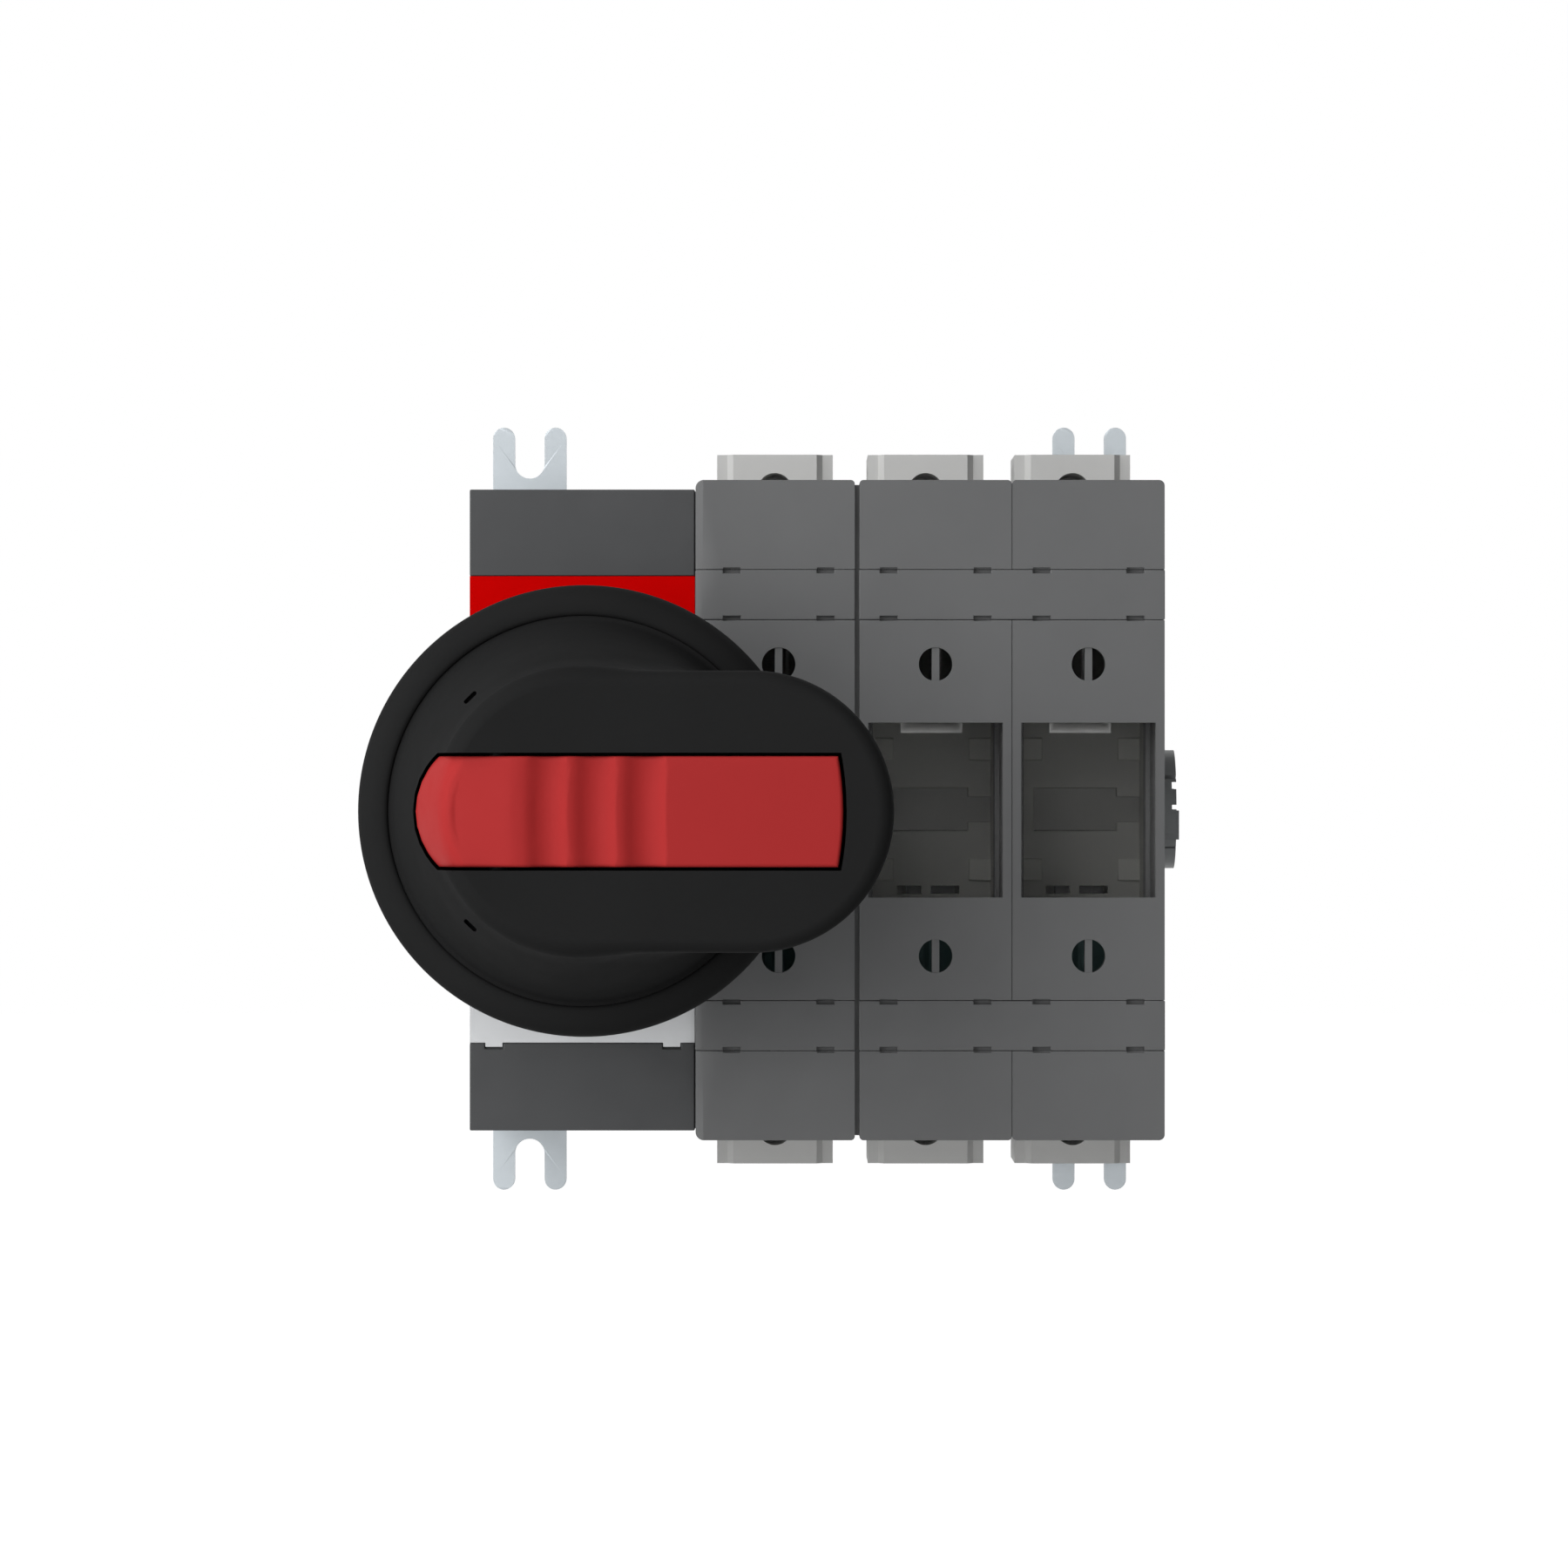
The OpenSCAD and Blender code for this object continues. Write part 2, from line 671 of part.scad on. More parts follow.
// A fuse clip: sprung jaws on a strip along the floor, with a leg down to its fixed pad
module fuse_clip_shape(i, strip, leg, leg_from) {
    x = pole_x(i);
    zs = [clip_mid_z - clip_w / 2, clip_mid_z + clip_w / 2];
    color([0.82, 0.82, 0.80]) {
        // The jaws, open to the front, with lips that lead the fuse in
        difference() {
            translate([x, -jaw_d, zs[0]])
                cylinder(r = jaw_r, h = clip_w);
            translate([x, -jaw_d, zs[0] - 1])
                cylinder(r = fuse_dia / 2, h = clip_w + 2);
            block([x - 5.4, x + 5.4], [jaw_d, jaw_d + 12], [zs[0] - 1, zs[1] + 1]);
        }
        for (jaw = [-1, 1])
            translate([x, -jaw_d, zs[0]])
                rotate([0, 0, jaw * 50])
                    translate([-clip_t / 2, -fuse_dia / 2 - 3, 0])
                        cube([clip_t, 3, clip_w]);
        block([x - 2.5, x + 2.5], [floor_d, floor_d + clip_t + 0.6], zs);
        block([x - 5.45, x + 5.45], [floor_d, floor_d + clip_t], strip);
        block([x + leg_from, x + pad_x[1]], [floor_d, floor_d + clip_t], [leg, leg + bar_t]);
        block([x, x + pad_x[1]], [floor_d, floor_d + clip_t], [min(leg, zs[1] - 1), max(leg + bar_t, zs[1])]);
        block([x + leg_from, x + pad_x[1]], [base_front, floor_d + clip_t], [leg, leg + bar_t]);
        block([x + pad_x[0], x + pad_x[1]], [base_front, pad_front], [pad_in, pad_out]);
    }
}

module fuse_clip_top(i) {
    fuse_clip_shape(i, [clip_end_z, clip_mid_z + clip_w / 2], pad_in, leg_x);
}

module fuse_clip_bottom(i) {
    mirror([0, 0, 1])
        fuse_clip_shape(i, [clip_mid_z - clip_w / 2, clip_mid_z + clip_w / 2], pad_out - bar_t, pad_x[0]);
}

// The four long bolts that hold the mechanism and the poles together, their heads sunk at both sides
module tie_bolts() {
    color([0.62, 0.63, 0.64])
        for (tie = [tie_rear, tie_front], side = [-1, 1])
            difference() {
                union() {
                    rod_x(tie_r, [left_x + 0.2, right_x - 0.2], tie[0], side * tie[1]);
                    rod_x(tie_head, [right_x - 1.3, right_x - 0.1], tie[0], side * tie[1]);
                    rod_x(tie_head, [left_x + 0.1, left_x + 1.3], tie[0], side * tie[1]);
                }
                block([right_x - 0.7, right_x + 1], [tie[0] - 0.5, tie[0] + 0.5], [side * tie[1] - 5, side * tie[1] + 5]);
            }
}

// One pinion of the cross shaft, as an outline in Y and Z about the shaft
function involute(base, angle) =
    [for (a = angle) base * [cos(a) + a * PI / 180 * sin(a), sin(a) - a * PI / 180 * cos(a)]];

// Half of one tooth's width as an angle at the pitch circle, less the backlash
function flank_offset(pitch, base, half) =
    let (roll = sqrt(pitch * pitch / (base * base) - 1) * 180 / PI)
    half + roll - acos(base / pitch);

module pinion_outline() {
    base = pinion_r * cos(20);
    tip = pinion_r + 0.8 * rack_m;
    root = pinion_r - 1.1 * rack_m;
    half = 90 / teeth - 1.0;
    turn = flank_offset(pinion_r, base, half);
    end = sqrt(tip * tip / (base * base) - 1) * 180 / PI;
    flank = involute(base, [for (k = [0:4]) end * k / 4]);
    circle(root);
    for (k = [0:teeth - 1])
        rotate(k * 360 / teeth)
            polygon(concat(
                [[root - 0.5, -0.5], for (p = flank) [p[0] * cos(turn) + p[1] * sin(turn), p[1] * cos(turn) - p[0] * sin(turn)]],
                [for (k = [4:-1:0]) let (p = flank[k]) [p[0] * cos(turn) + p[1] * sin(turn), p[0] * sin(turn) - p[1] * cos(turn)],
                 [root - 0.5, 0.5]]
            ));
}

// The cross shaft with its three pinions in one piece
module cross_shaft() {
    color([0.24, 0.24, 0.25]) {
        rod_x(cross_r, [left_x + 3.8, right_x + 0.6], cross_d, 0);
        for (i = [1:3])
            translate([0, -cross_d, 0])
                rib([pole_x(i) - 3, pole_x(i) + 3])
                    rotate(180 / teeth)
                        pinion_outline();
    }
}

// The castellated hub on the shaft's right end, where a further pole or contact block is coupled
module side_hub() {
    start = right_x + 0.6;
    color([0.33, 0.34, 0.35])
        difference() {
            rod_x(hub_r, [start, right_x + hub_out], cross_d, 0);
            rod_x(hub_r - 3.4, [right_x + 2.2, right_x + hub_out + 1], cross_d, 0);
            for (k = [0:5])
                translate([0, -cross_d, 0])
                    rotate([60 * k + 12, 0, 0])
                        translate([right_x + 2.6, -1.5, 0])
                            cube([hub_out, 3, hub_r + 2]);
        }
    color([0.33, 0.34, 0.35])
        rod_x(3, [right_x + 1, right_x + hub_out - 0.6], cross_d, 0);
}

// A bevel gear's outline at its large end, with straight flanks
module bevel_outline() {
    tip = bevel_r + 1.15;
    root = bevel_r - 1.55;
    pitch = 360 / bevel_teeth;
    half = pitch / 4 - 0.75;
    circle(root, $fn = 96);
    for (k = [0:bevel_teeth - 1])
        rotate(k * pitch)
            polygon([
                for (p = [[root - 1, half + 2.2], [root, half + 2.2], [bevel_r, half], [tip, half - 2.6]])
                    [p[0] * cos(p[1]), -p[0] * sin(p[1])],
                for (p = [[tip, half - 2.6], [bevel_r, half], [root, half + 2.2], [root - 1, half + 2.2]])
                    [p[0] * cos(p[1]), p[0] * sin(p[1])]
            ]);
}

// The teeth of one bevel gear, large end at the origin, pointing along +Z to its cone's tip
module bevel_teeth_body() {
    linear_extrude(bevel_face, scale = (bevel_r - bevel_face) / bevel_r)
        bevel_outline();
}

// The bevel gear that the handle's shaft turns, with its long hub
module drive_gear() {
    color([0.20, 0.20, 0.21])
        difference() {
            union() {
                translate([handle_x, -bevel_top, 0])
                    rotate([-90, 0, 0])
                        bevel_teeth_body();
                rod_y(gear_hub_r, [bevel_top - eps, bush_top], handle_x, 0);
            }
            block([handle_x - square_w / 2 - run, handle_x + square_w / 2 + run], [shaft_back, bush_top + 1],
                  [-square_w / 2 - run, square_w / 2 + run]);
        }
}

// Its mate on the cross shaft
module driven_gear() {
    color([0.20, 0.20, 0.21])
        difference() {
            union() {
                translate([handle_x + bevel_r, -cross_d, 0])
                    rotate([0, -90, 0])
                        bevel_teeth_body();
                rod_x(6.6, [handle_x + bevel_r - eps, mech_right - wall - 0.4], cross_d, 0);
            }
            rod_x(cross_r, [handle_x - 1, mech_right], cross_d, 0);
        }
}

// The square shaft from the mechanism to the handle
module handle_shaft() {
    half = square_w / 2;
    color([0.68, 0.69, 0.70])
        block([handle_x - half, handle_x + half], [shaft_back, shaft_front], [-half, half]);
}

// The handle's fixed base plate: a dished ring with a convex rim, which would be screwed to a door
module handle_base_plate() {
    r = plate_dia / 2;
    crest = plate_inner_r + 1.7;
    color([0.16, 0.16, 0.17])
        difference() {
            turned()
                polygon([
                    [neck_r + 0.08, door_d], [r - 0.4, door_d], [r, door_d + 0.4],
                    for (k = [0:6])
                        [crest + (r - crest) * cos(15 * k), door_d + plate_rim_t + (plate_t - plate_rim_t) * sin(15 * k)],
                    for (k = [1:3])
                        [plate_inner_r + 1.3 - 1.3 * sin(30 * k), door_d + plate_t - 1.3 + 1.3 * cos(30 * k)],
                    [plate_inner_r, door_d + plate_floor], [neck_r + 0.08, door_d + plate_floor]
                ]);
            for (a = [45:90:315])
                rod_y(1.65, [door_d - 1, door_d + plate_floor - 0.7], handle_x + plate_screw_r * cos(a), plate_screw_r * sin(a));
        }
}

// The seal between the base plate and a door
module door_gasket() {
    color([0.10, 0.10, 0.10])
        turned()
            translate([plate_dia / 2 - gasket_w - 2.75, door_d - gasket_t])
                square([gasket_w, gasket_t]);
}

// The ring that keeps the grip in the base plate
module retaining_ring() {
    color([0.62, 0.63, 0.64])
        turned()
            translate([neck_r - 0.9, door_d - 1.1])
                square([3, 0.9]);
}

// Half of the blade's cross section: its half width against depth, with a rounded front edge
module blade_half(back) {
    half = grip_w / 2;
    translate([0, back])
        square([half, grip_front - grip_edge - back]);
    translate([0, back])
        square([half - grip_edge, grip_front - back]);
    translate([half - grip_edge, grip_front - grip_edge])
        circle(grip_edge);
}

// The dome's slope from its foot to the front: a steep cone, rounded over into the flat
function dome_slope(extra) =
    let (foot = dome_foot + [extra - 0.75, 1.7],
         shoulder = dome_shoulder + [extra, 0],
         corner = [shoulder[0] + (shoulder[0] - foot[0]) * (grip_front - shoulder[1]) / (shoulder[1] - foot[1]), grip_front])
    [foot, for (t = [0:0.2:1])
        (1 - t) * (1 - t) * shoulder + 2 * t * (1 - t) * corner + t * t * [dome_top_r + extra, grip_front]];

// The dome's half section, with a skirt that stands in the base plate
module dome_half() {
    polygon([[0, dome_back], [dome_r, dome_back], dome_foot, each dome_slope(0), [0, grip_front]]);
}

// The turning grip: a dome that fills the base plate, and a broad blade that reaches past it
module handle_grip() {
    color([0.15, 0.15, 0.16])
        difference() {
            union() {
                turned()
                    dome_half();
                turned(tip_x)
                    blade_half(grip_under);
                for (side = [0, 1])
                    mirror([0, 0, side])
                        rib([handle_x, tip_x])
                            rotate(90)
                                blade_half(grip_under);
                rod_y(neck_r, [neck_back, dome_back + 1], handle_x, 0);
            }
            lever_pocket();
            // The groove of the retaining ring and the shaft's socket
            turned()
                translate([neck_r - 0.9, door_d - 1.2])
                    square([2, 1.1]);
            block([handle_x - square_w / 2 - run, handle_x + square_w / 2 + run], [neck_back - 1, shaft_front + 0.5],
                  [-square_w / 2 - run, square_w / 2 + run]);
            // The slot through both cheeks for the shackles of padlocks
            translate([tip_x - 12, -(lever_back + 5.5), -grip_w])
                linear_extrude(2 * grip_w)
                    shackle_outline();
            translate([0, 0, -14])
                rod_z_pin(pin_r, 28);
            // Two short marks on the dome
            for (a = [134, 226])
                translate([handle_x + 26 * cos(a), -grip_front, 26 * sin(a)])
                    rotate([0, -a, 0])
                        translate([-0.45, 0, -1.3])
                            cube([0.9, 26, 2.6]);
        }
}

// A slot 8 mm high with round ends, for the shackles of padlocks
module shackle_outline() {
    for (side = [-1, 1])
        translate([side * 5, 0])
            circle(4);
    translate([-5, -4])
        square([10, 8]);
}

// The axis of the lever's pin
module rod_z_pin(r, h) {
    translate([pivot_x, -pivot_d, 0])
        cylinder(r = r, h = h);
}

// Plan of the padlock lever: a strip with a round left end and a slightly round right end
module lever_plan(extra, extra_left) {
    half = lever_w / 2 + extra;
    centre = pivot_x - lever_end_r + lever_plan_r;
    left = centre - lever_plan_r - extra_left;
    right = lever_right + extra;
    intersection() {
        translate([left, -half])
            square([right - left, 2 * half]);
        translate([centre, 0])
            circle(lever_plan_r + extra_left);
    }
    intersection() {
        translate([centre, -half])
            square([right - centre, 2 * half]);
        translate([right - lever_tip_r, 0])
            circle(lever_tip_r, $fn = 200);
    }
}

// The pocket in the grip that the lever lies in, with room at the left for its corners as it swings out
module lever_pocket() {
    intersection() {
        slab([door_d + plate_t + 1, grip_front + 2])
            lever_plan(lever_clear, end_clear);
        translate([0, 0, -lever_w])
            linear_extrude(2 * lever_w)
                union() {
                    translate([pivot_x, -pivot_d])
                        circle(lever_swing_r, $fn = 128);
                    translate([pivot_x, -grip_front - 2])
                        square([lever_right + lever_clear - pivot_x, grip_front + 2 - lever_back + lever_clear]);
                    translate([pivot_x - lever_end_r - end_clear, -grip_front - 2])
                        square([lever_end_r + end_clear, 2 + lever_end_r]);
                }
    }
}

// A finger groove from its left edge: steep on the left, rising gently to the right
module finger_groove() {
    polygon([
        [0, 1], [0, 0],
        for (t = [0.07, 0.13, 0.19, 0.26]) [groove_pitch * t, -groove_h * (1 - cos(180 * t / 0.26)) / 2],
        for (u = [0.2:0.2:1]) [groove_pitch * (0.26 + 0.74 * u), -groove_h * (1 - pow(u, 1.7))],
        [groove_pitch, 1]
    ]);
}

// The red padlock lever: its left end lies flush with the dome, and it has three finger grooves
module padlock_lever() {
    groove_x = handle_x - 9.6;
    color([0.72, 0.16, 0.17])
        difference() {
            intersection() {
                slab([lever_back, grip_front])
                    lever_plan(0, 0);
                union() {
                    turned()
                        polygon([[0, door_d], [dome_r, door_d], dome_foot, each dome_slope(0.1), [0, grip_front]]);
                    block([handle_x, lever_right + 1], [lever_back, grip_front], [-lever_w, lever_w]);
                }
            }
            for (k = [0:2])
                translate([groove_x + k * groove_pitch, -grip_front, -lever_w])
                    linear_extrude(2 * lever_w)
                        mirror([0, 1])
                            finger_groove();
            translate([0, 0, -lever_w])
                rod_z_pin(pin_r + run, 2 * lever_w);
        }
}

// The pin that the lever swings on
module lever_pin() {
    color([0.68, 0.69, 0.70])
        translate([0, 0, -13.9])
            rod_z_pin(pin_r, 27.8);
}

// The sliding carriage of one pole, with a rack on its back and a head at each end
module contact_carriage(i) {
    x = pole_x(i);
    tip = rack_line + rack_add;
    root_half = (PI / 4 + 0.36 * 1.0) * rack_m - 0.08;
    tip_half = (PI / 4 - 0.36 * 0.68) * rack_m - 0.08;
    color([0.24, 0.24, 0.25]) {
        block([x - 4.4, x + 4.4], [carriage_back, carriage_front], [bottom_bridge_z, top_bridge_z]);
        for (z = [bottom_bridge_z, top_bridge_z])
            block([x - 8, x + 8], [carriage_back, carriage_front], [z - head_h / 2, z + head_h / 2]);
        rib([x - 3, x + 3])
            for (k = [-1:4])
                polygon([
                    [-carriage_back - 0.2, PI * rack_m * k - root_half - 0.1],
                    [-(rack_line + rack_m), PI * rack_m * k - root_half],
                    [-(rack_line - rack_add), PI * rack_m * k - tip_half],
                    [-(rack_line - rack_add), PI * rack_m * k + tip_half],
                    [-(rack_line + rack_m), PI * rack_m * k + root_half],
                    [-carriage_back - 0.2, PI * rack_m * k + root_half + 0.1]
                ]);
    }
}

// The two contact bridges that ride on a carriage
module moving_contacts(i) {
    x = pole_x(i);
    color([0.78, 0.62, 0.45])
        for (z = [bottom_bridge_z, top_bridge_z])
            block([x - 7.4, x + 7.4], [bridge_back, carriage_back], [z - bridge_h / 2, z + bridge_h / 2]);
}

// A pull-off fuse cover, with its window and its two test probe holes
module fuse_cover(i) {
    x = pole_x(i);
    left = x - pole_w / 2 - (i == 1 ? flange_w : 0) + gap / 2;
    right = x + pole_w / 2 - gap / 2;
    top = fuse_z - gap;
    color([0.39, 0.40, 0.41])
        difference() {
            union() {
                block([left, right], [cover_back + gap / 2, body_d], [-top, top]);
                // Hooks at both ends, behind the bands
                for (hook = [-1, 1])
                    block_pair([x + hook * 8.1 - 2, x + hook * 8.1 + 2], [body_d - 10, body_d - 2], [top - 1.4, top]);
            }
            left_edge();
            block([x - window_w / 2, x + window_w / 2], [cover_back - 1, body_d + 1], [-window_h / 2, window_h / 2]);
            block([x - window_w / 2 - 0.8, x + window_w / 2 + 0.8], [cover_back - 1, body_d - 1.4],
                  [-window_h / 2 - 1.4, window_h / 2 + 1.4]);
            for (side = [-1, 1])
                difference() {
                    rod_y(probe_dia / 2, [cover_back - 1, body_d + 1], x, side * probe_z);
                    block([x - probe_bar / 2, x + probe_bar / 2], [cover_back, body_d - 0.3],
                          [side * probe_z - 5, side * probe_z + 5]);
                }
            // Screwdriver notches in line with those of the housing
            for (hook = [-1, 1])
                block_pair([x + hook * 8.1 - 1.5, x + hook * 8.1 + 1.5], [body_d - 1, body_d + 1], [top - 0.2, top + 1]);
        }
}

// The clear pane of a fuse cover, in a rebate behind its front
module fuse_window(i) {
    x = pole_x(i);
    w = window_w / 2 + 0.7;
    h = window_h / 2 + 1.3;
    color([0.55, 0.57, 0.58, 0.35])
        block([x - w, x + w], [body_d - 1.4 - pane_t, body_d - 1.4], [-h, h]);
}

mechanism_base();
mechanism_cover();
front_plate();
red_stripe();
mounting_foot(foot_left_x);  // mounting_foot_left
mounting_foot(foot_right_x);  // mounting_foot_right
pole_housing_single();
pole_housing_double();
for (i = [1:3]) {
    pole_base(i);
    terminal_cover(i, 1);
    terminal_cover(i, -1);
    terminal_bar(i, 1);
    terminal_bar(i, -1);
    terminal_clamp(i, 1);
    terminal_clamp(i, -1);
    fuse_clip_top(i);
    fuse_clip_bottom(i);
    contact_carriage(i);
    moving_contacts(i);
    fuse_cover(i);
    fuse_window(i);
}
clamp_screws();
tie_bolts();
handle_base_plate();
door_gasket();
handle_grip();
handle_shaft();
drive_gear();
retaining_ring();
lever_pin();
padlock_lever();
cross_shaft();
driven_gear();
side_hub();
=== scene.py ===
"""Three-pole switch fuse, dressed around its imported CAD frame.

Lengths in the shape functions are millimetres: X runs right, Z up, and a depth d lies at Y = -d.
"""

import json
import math

import bmesh
import bpy
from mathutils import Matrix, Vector

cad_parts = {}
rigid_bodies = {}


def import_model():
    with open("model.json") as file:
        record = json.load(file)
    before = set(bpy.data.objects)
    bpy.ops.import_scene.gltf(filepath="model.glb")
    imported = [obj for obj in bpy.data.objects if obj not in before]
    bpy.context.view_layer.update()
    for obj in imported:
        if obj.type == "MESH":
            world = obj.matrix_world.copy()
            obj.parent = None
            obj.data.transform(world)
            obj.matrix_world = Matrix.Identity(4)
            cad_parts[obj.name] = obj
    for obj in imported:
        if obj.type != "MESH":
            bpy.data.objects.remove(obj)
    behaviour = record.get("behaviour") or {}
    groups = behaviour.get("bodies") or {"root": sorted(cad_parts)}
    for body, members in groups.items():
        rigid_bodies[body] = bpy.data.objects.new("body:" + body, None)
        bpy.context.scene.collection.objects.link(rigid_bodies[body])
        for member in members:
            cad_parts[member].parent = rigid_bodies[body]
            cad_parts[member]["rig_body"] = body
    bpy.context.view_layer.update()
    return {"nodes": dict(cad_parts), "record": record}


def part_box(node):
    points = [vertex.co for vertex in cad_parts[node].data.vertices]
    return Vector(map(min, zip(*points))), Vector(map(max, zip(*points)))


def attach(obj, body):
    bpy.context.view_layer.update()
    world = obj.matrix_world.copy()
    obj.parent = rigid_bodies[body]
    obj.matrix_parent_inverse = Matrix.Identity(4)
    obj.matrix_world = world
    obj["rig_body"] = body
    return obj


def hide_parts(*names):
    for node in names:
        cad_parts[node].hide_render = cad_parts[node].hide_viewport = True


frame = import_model()
NODES = frame["nodes"]
MM = 0.001
bpy.context.scene.view_settings.view_transform = "Standard"


def make_camera():
    """The photograph's camera: straight in front, a little above the middle."""
    data = bpy.data.cameras.new("camera")
    data.sensor_width = 36.0
    data.lens = 164.66
    data.clip_start = 0.05
    data.clip_end = 50.0
    cam = bpy.data.objects.new("camera", data)
    cam.location = (-0.00467, -1.312, 0.00451)
    cam.rotation_euler = (math.radians(90), 0, 0)
    bpy.context.scene.collection.objects.link(cam)
    bpy.context.scene.camera = cam


make_camera()


# Materials


def principled(name):
    """A new node material: (material, nodes, links, shader)."""
    mat = bpy.data.materials.new(name)
    mat.use_nodes = True
    nt = mat.node_tree
    nt.nodes.clear()
    out = nt.nodes.new("ShaderNodeOutputMaterial")
    shader = nt.nodes.new("ShaderNodeBsdfPrincipled")
    nt.links.new(shader.outputs["BSDF"], out.inputs["Surface"])
    return mat, nt, shader


def noise(nt, coords, scale, detail=3.0, rough=0.55):
    node = nt.nodes.new("ShaderNodeTexNoise")
    node.inputs["Scale"].default_value = scale
    node.inputs["Detail"].default_value = detail
    node.inputs["Roughness"].default_value = rough
    nt.links.new(coords, node.inputs["Vector"])
    return node


def ramp(nt, fac, low, high, a, b):
    """A colour ramp from colour a at low to colour b at high."""
    node = nt.nodes.new("ShaderNodeValToRGB")
    node.color_ramp.elements[0].position = low
    node.color_ramp.elements[1].position = high
    node.color_ramp.elements[0].color = a
    node.color_ramp.elements[1].color = b
    nt.links.new(fac, node.inputs["Fac"])
    return node


def map_range(nt, value, low, high, to_low, to_high):
    node = nt.nodes.new("ShaderNodeMapRange")
    node.inputs["From Min"].default_value = low
    node.inputs["From Max"].default_value = high
    node.inputs["To Min"].default_value = to_low
    node.inputs["To Max"].default_value = to_high
    nt.links.new(value, node.inputs["Value"])
    return node


def plastic(name, rgb, roughness, specular, grain=900.0, depth=0.00002, vary=0.05):
    """Moulded plastic: a fine spark-eroded grain, slow colour drift and an uneven gloss."""
    mat, nt, shader = principled(name)
    coords = nt.nodes.new("ShaderNodeTexCoord").outputs["Object"]
    slow = noise(nt, coords, 26.0, 4.0)
    lo = tuple(c * (1 - vary) for c in rgb) + (1.0,)
    hi = tuple(min(1.0, c * (1 + vary)) for c in rgb) + (1.0,)
    tint = ramp(nt, slow.outputs["Fac"], 0.3, 0.7, lo, hi)
    nt.links.new(tint.outputs["Color"], shader.inputs["Base Color"])
    gloss = noise(nt, coords, 140.0, 3.0)
    rough = map_range(nt, gloss.outputs["Fac"], 0.3, 0.7, roughness - 0.05, roughness + 0.05)
    nt.links.new(rough.outputs["Result"], shader.inputs["Roughness"])
    shader.inputs["Specular IOR Level"].default_value = specular
    fine = noise(nt, coords, grain, 2.0)
    bump = nt.nodes.new("ShaderNodeBump")
    bump.inputs["Strength"].default_value = 0.25
    bump.inputs["Distance"].default_value = depth
    nt.links.new(fine.outputs["Fac"], bump.inputs["Height"])
    nt.links.new(bump.outputs["Normal"], shader.inputs["Normal"])
    return mat


def paint_light_in_wells(mat):
    """Paints light onto the insert on the floors of the fuse compartments: a paler colour there as painted light
    in the shaded wells, and paler still on its raised pads as painted light on their tops.
    """
    nt = mat.node_tree
    shader = next(n for n in nt.nodes if n.type == "BSDF_PRINCIPLED")
    colour = shader.inputs["Base Color"].links[0].from_socket
    coords = nt.nodes.new("ShaderNodeTexCoord").outputs["Object"]
    split = nt.nodes.new("ShaderNodeSeparateXYZ")
    nt.links.new(coords, split.inputs[0])
    inside = None
    for axis, middle, half in (("X", 0.0206, 0.0392), ("Y", -0.043, 0.007), ("Z", 0.0, 0.0315)):
        near = nt.nodes.new("ShaderNodeMath")
        near.operation = "COMPARE"
        near.inputs[1].default_value = middle
        near.inputs[2].default_value = half
        nt.links.new(split.outputs[axis], near.inputs[0])
        if inside is None:
            inside = near.outputs[0]
            continue
        both = nt.nodes.new("ShaderNodeMath")
        both.operation = "MULTIPLY"
        nt.links.new(inside, both.inputs[0])
        nt.links.new(near.outputs[0], both.inputs[1])
        inside = both.outputs[0]
    # painted light: the insert's colour rises from 0.235 in its recesses to 0.385 on its raised pads, only inside
    # the box mask of the wells
    height = map_range(nt, split.outputs["Y"], -0.0372, -0.0387, 0.0, 1.0)
    painted_light = ramp(nt, height.outputs["Result"], 0.0, 1.0, (0.235, 0.234, 0.222, 1), (0.385, 0.384, 0.360, 1))
    mix = nt.nodes.new("ShaderNodeMix")
    mix.data_type = "RGBA"
    nt.links.new(inside, mix.inputs["Factor"])
    nt.links.new(colour, mix.inputs["A"])
    nt.links.new(painted_light.outputs["Color"], mix.inputs["B"])
    nt.links.new(mix.outputs["Result"], shader.inputs["Base Color"])
    return mat


def metal(name, rgb, roughness, stretch=(1.0, 1.0, 1.0), metallic=1.0, vary=0.06, scale=500.0):
    """Rolled or plated metal: fine marks along one direction and a slight mottle."""
    mat, nt, shader = principled(name)
    coords = nt.nodes.new("ShaderNodeTexCoord").outputs["Object"]
    mapping = nt.nodes.new("ShaderNodeMapping")
    mapping.inputs["Scale"].default_value = stretch
    nt.links.new(coords, mapping.inputs["Vector"])
    mottle = noise(nt, coords, 60.0, 5.0)
    lo = tuple(c * (1 - vary) for c in rgb) + (1.0,)
    hi = tuple(min(1.0, c * (1 + vary)) for c in rgb) + (1.0,)
    tint = ramp(nt, mottle.outputs["Fac"], 0.3, 0.7, lo, hi)
    nt.links.new(tint.outputs["Color"], shader.inputs["Base Color"])
    marks = noise(nt, mapping.outputs["Vector"], scale, 3.0)
    rough = map_range(nt, marks.outputs["Fac"], 0.3, 0.7, roughness - 0.07, roughness + 0.07)
    nt.links.new(rough.outputs["Result"], shader.inputs["Roughness"])
    shader.inputs["Metallic"].default_value = metallic
    bump = nt.nodes.new("ShaderNodeBump")
    bump.inputs["Strength"].default_value = 0.2
    bump.inputs["Distance"].default_value = 0.00001
    nt.links.new(marks.outputs["Fac"], bump.inputs["Height"])
    nt.links.new(bump.outputs["Normal"], shader.inputs["Normal"])
    return mat


def clear_plastic(name):
    """The smoky window pane."""
    mat, nt, shader = principled(name)
    coords = nt.nodes.new("ShaderNodeTexCoord").outputs["Object"]
    shader.inputs["Base Color"].default_value = (0.045, 0.045, 0.043, 1.0)
    haze = noise(nt, coords, 90.0, 3.0)
    rough = map_range(nt, haze.outputs["Fac"], 0.3, 0.7, 0.06, 0.12)
    nt.links.new(rough.outputs["Result"], shader.inputs["Roughness"])
    shader.inputs["Specular IOR Level"].default_value = 0.3
    shader.inputs["Alpha"].default_value = 0.07
    return mat


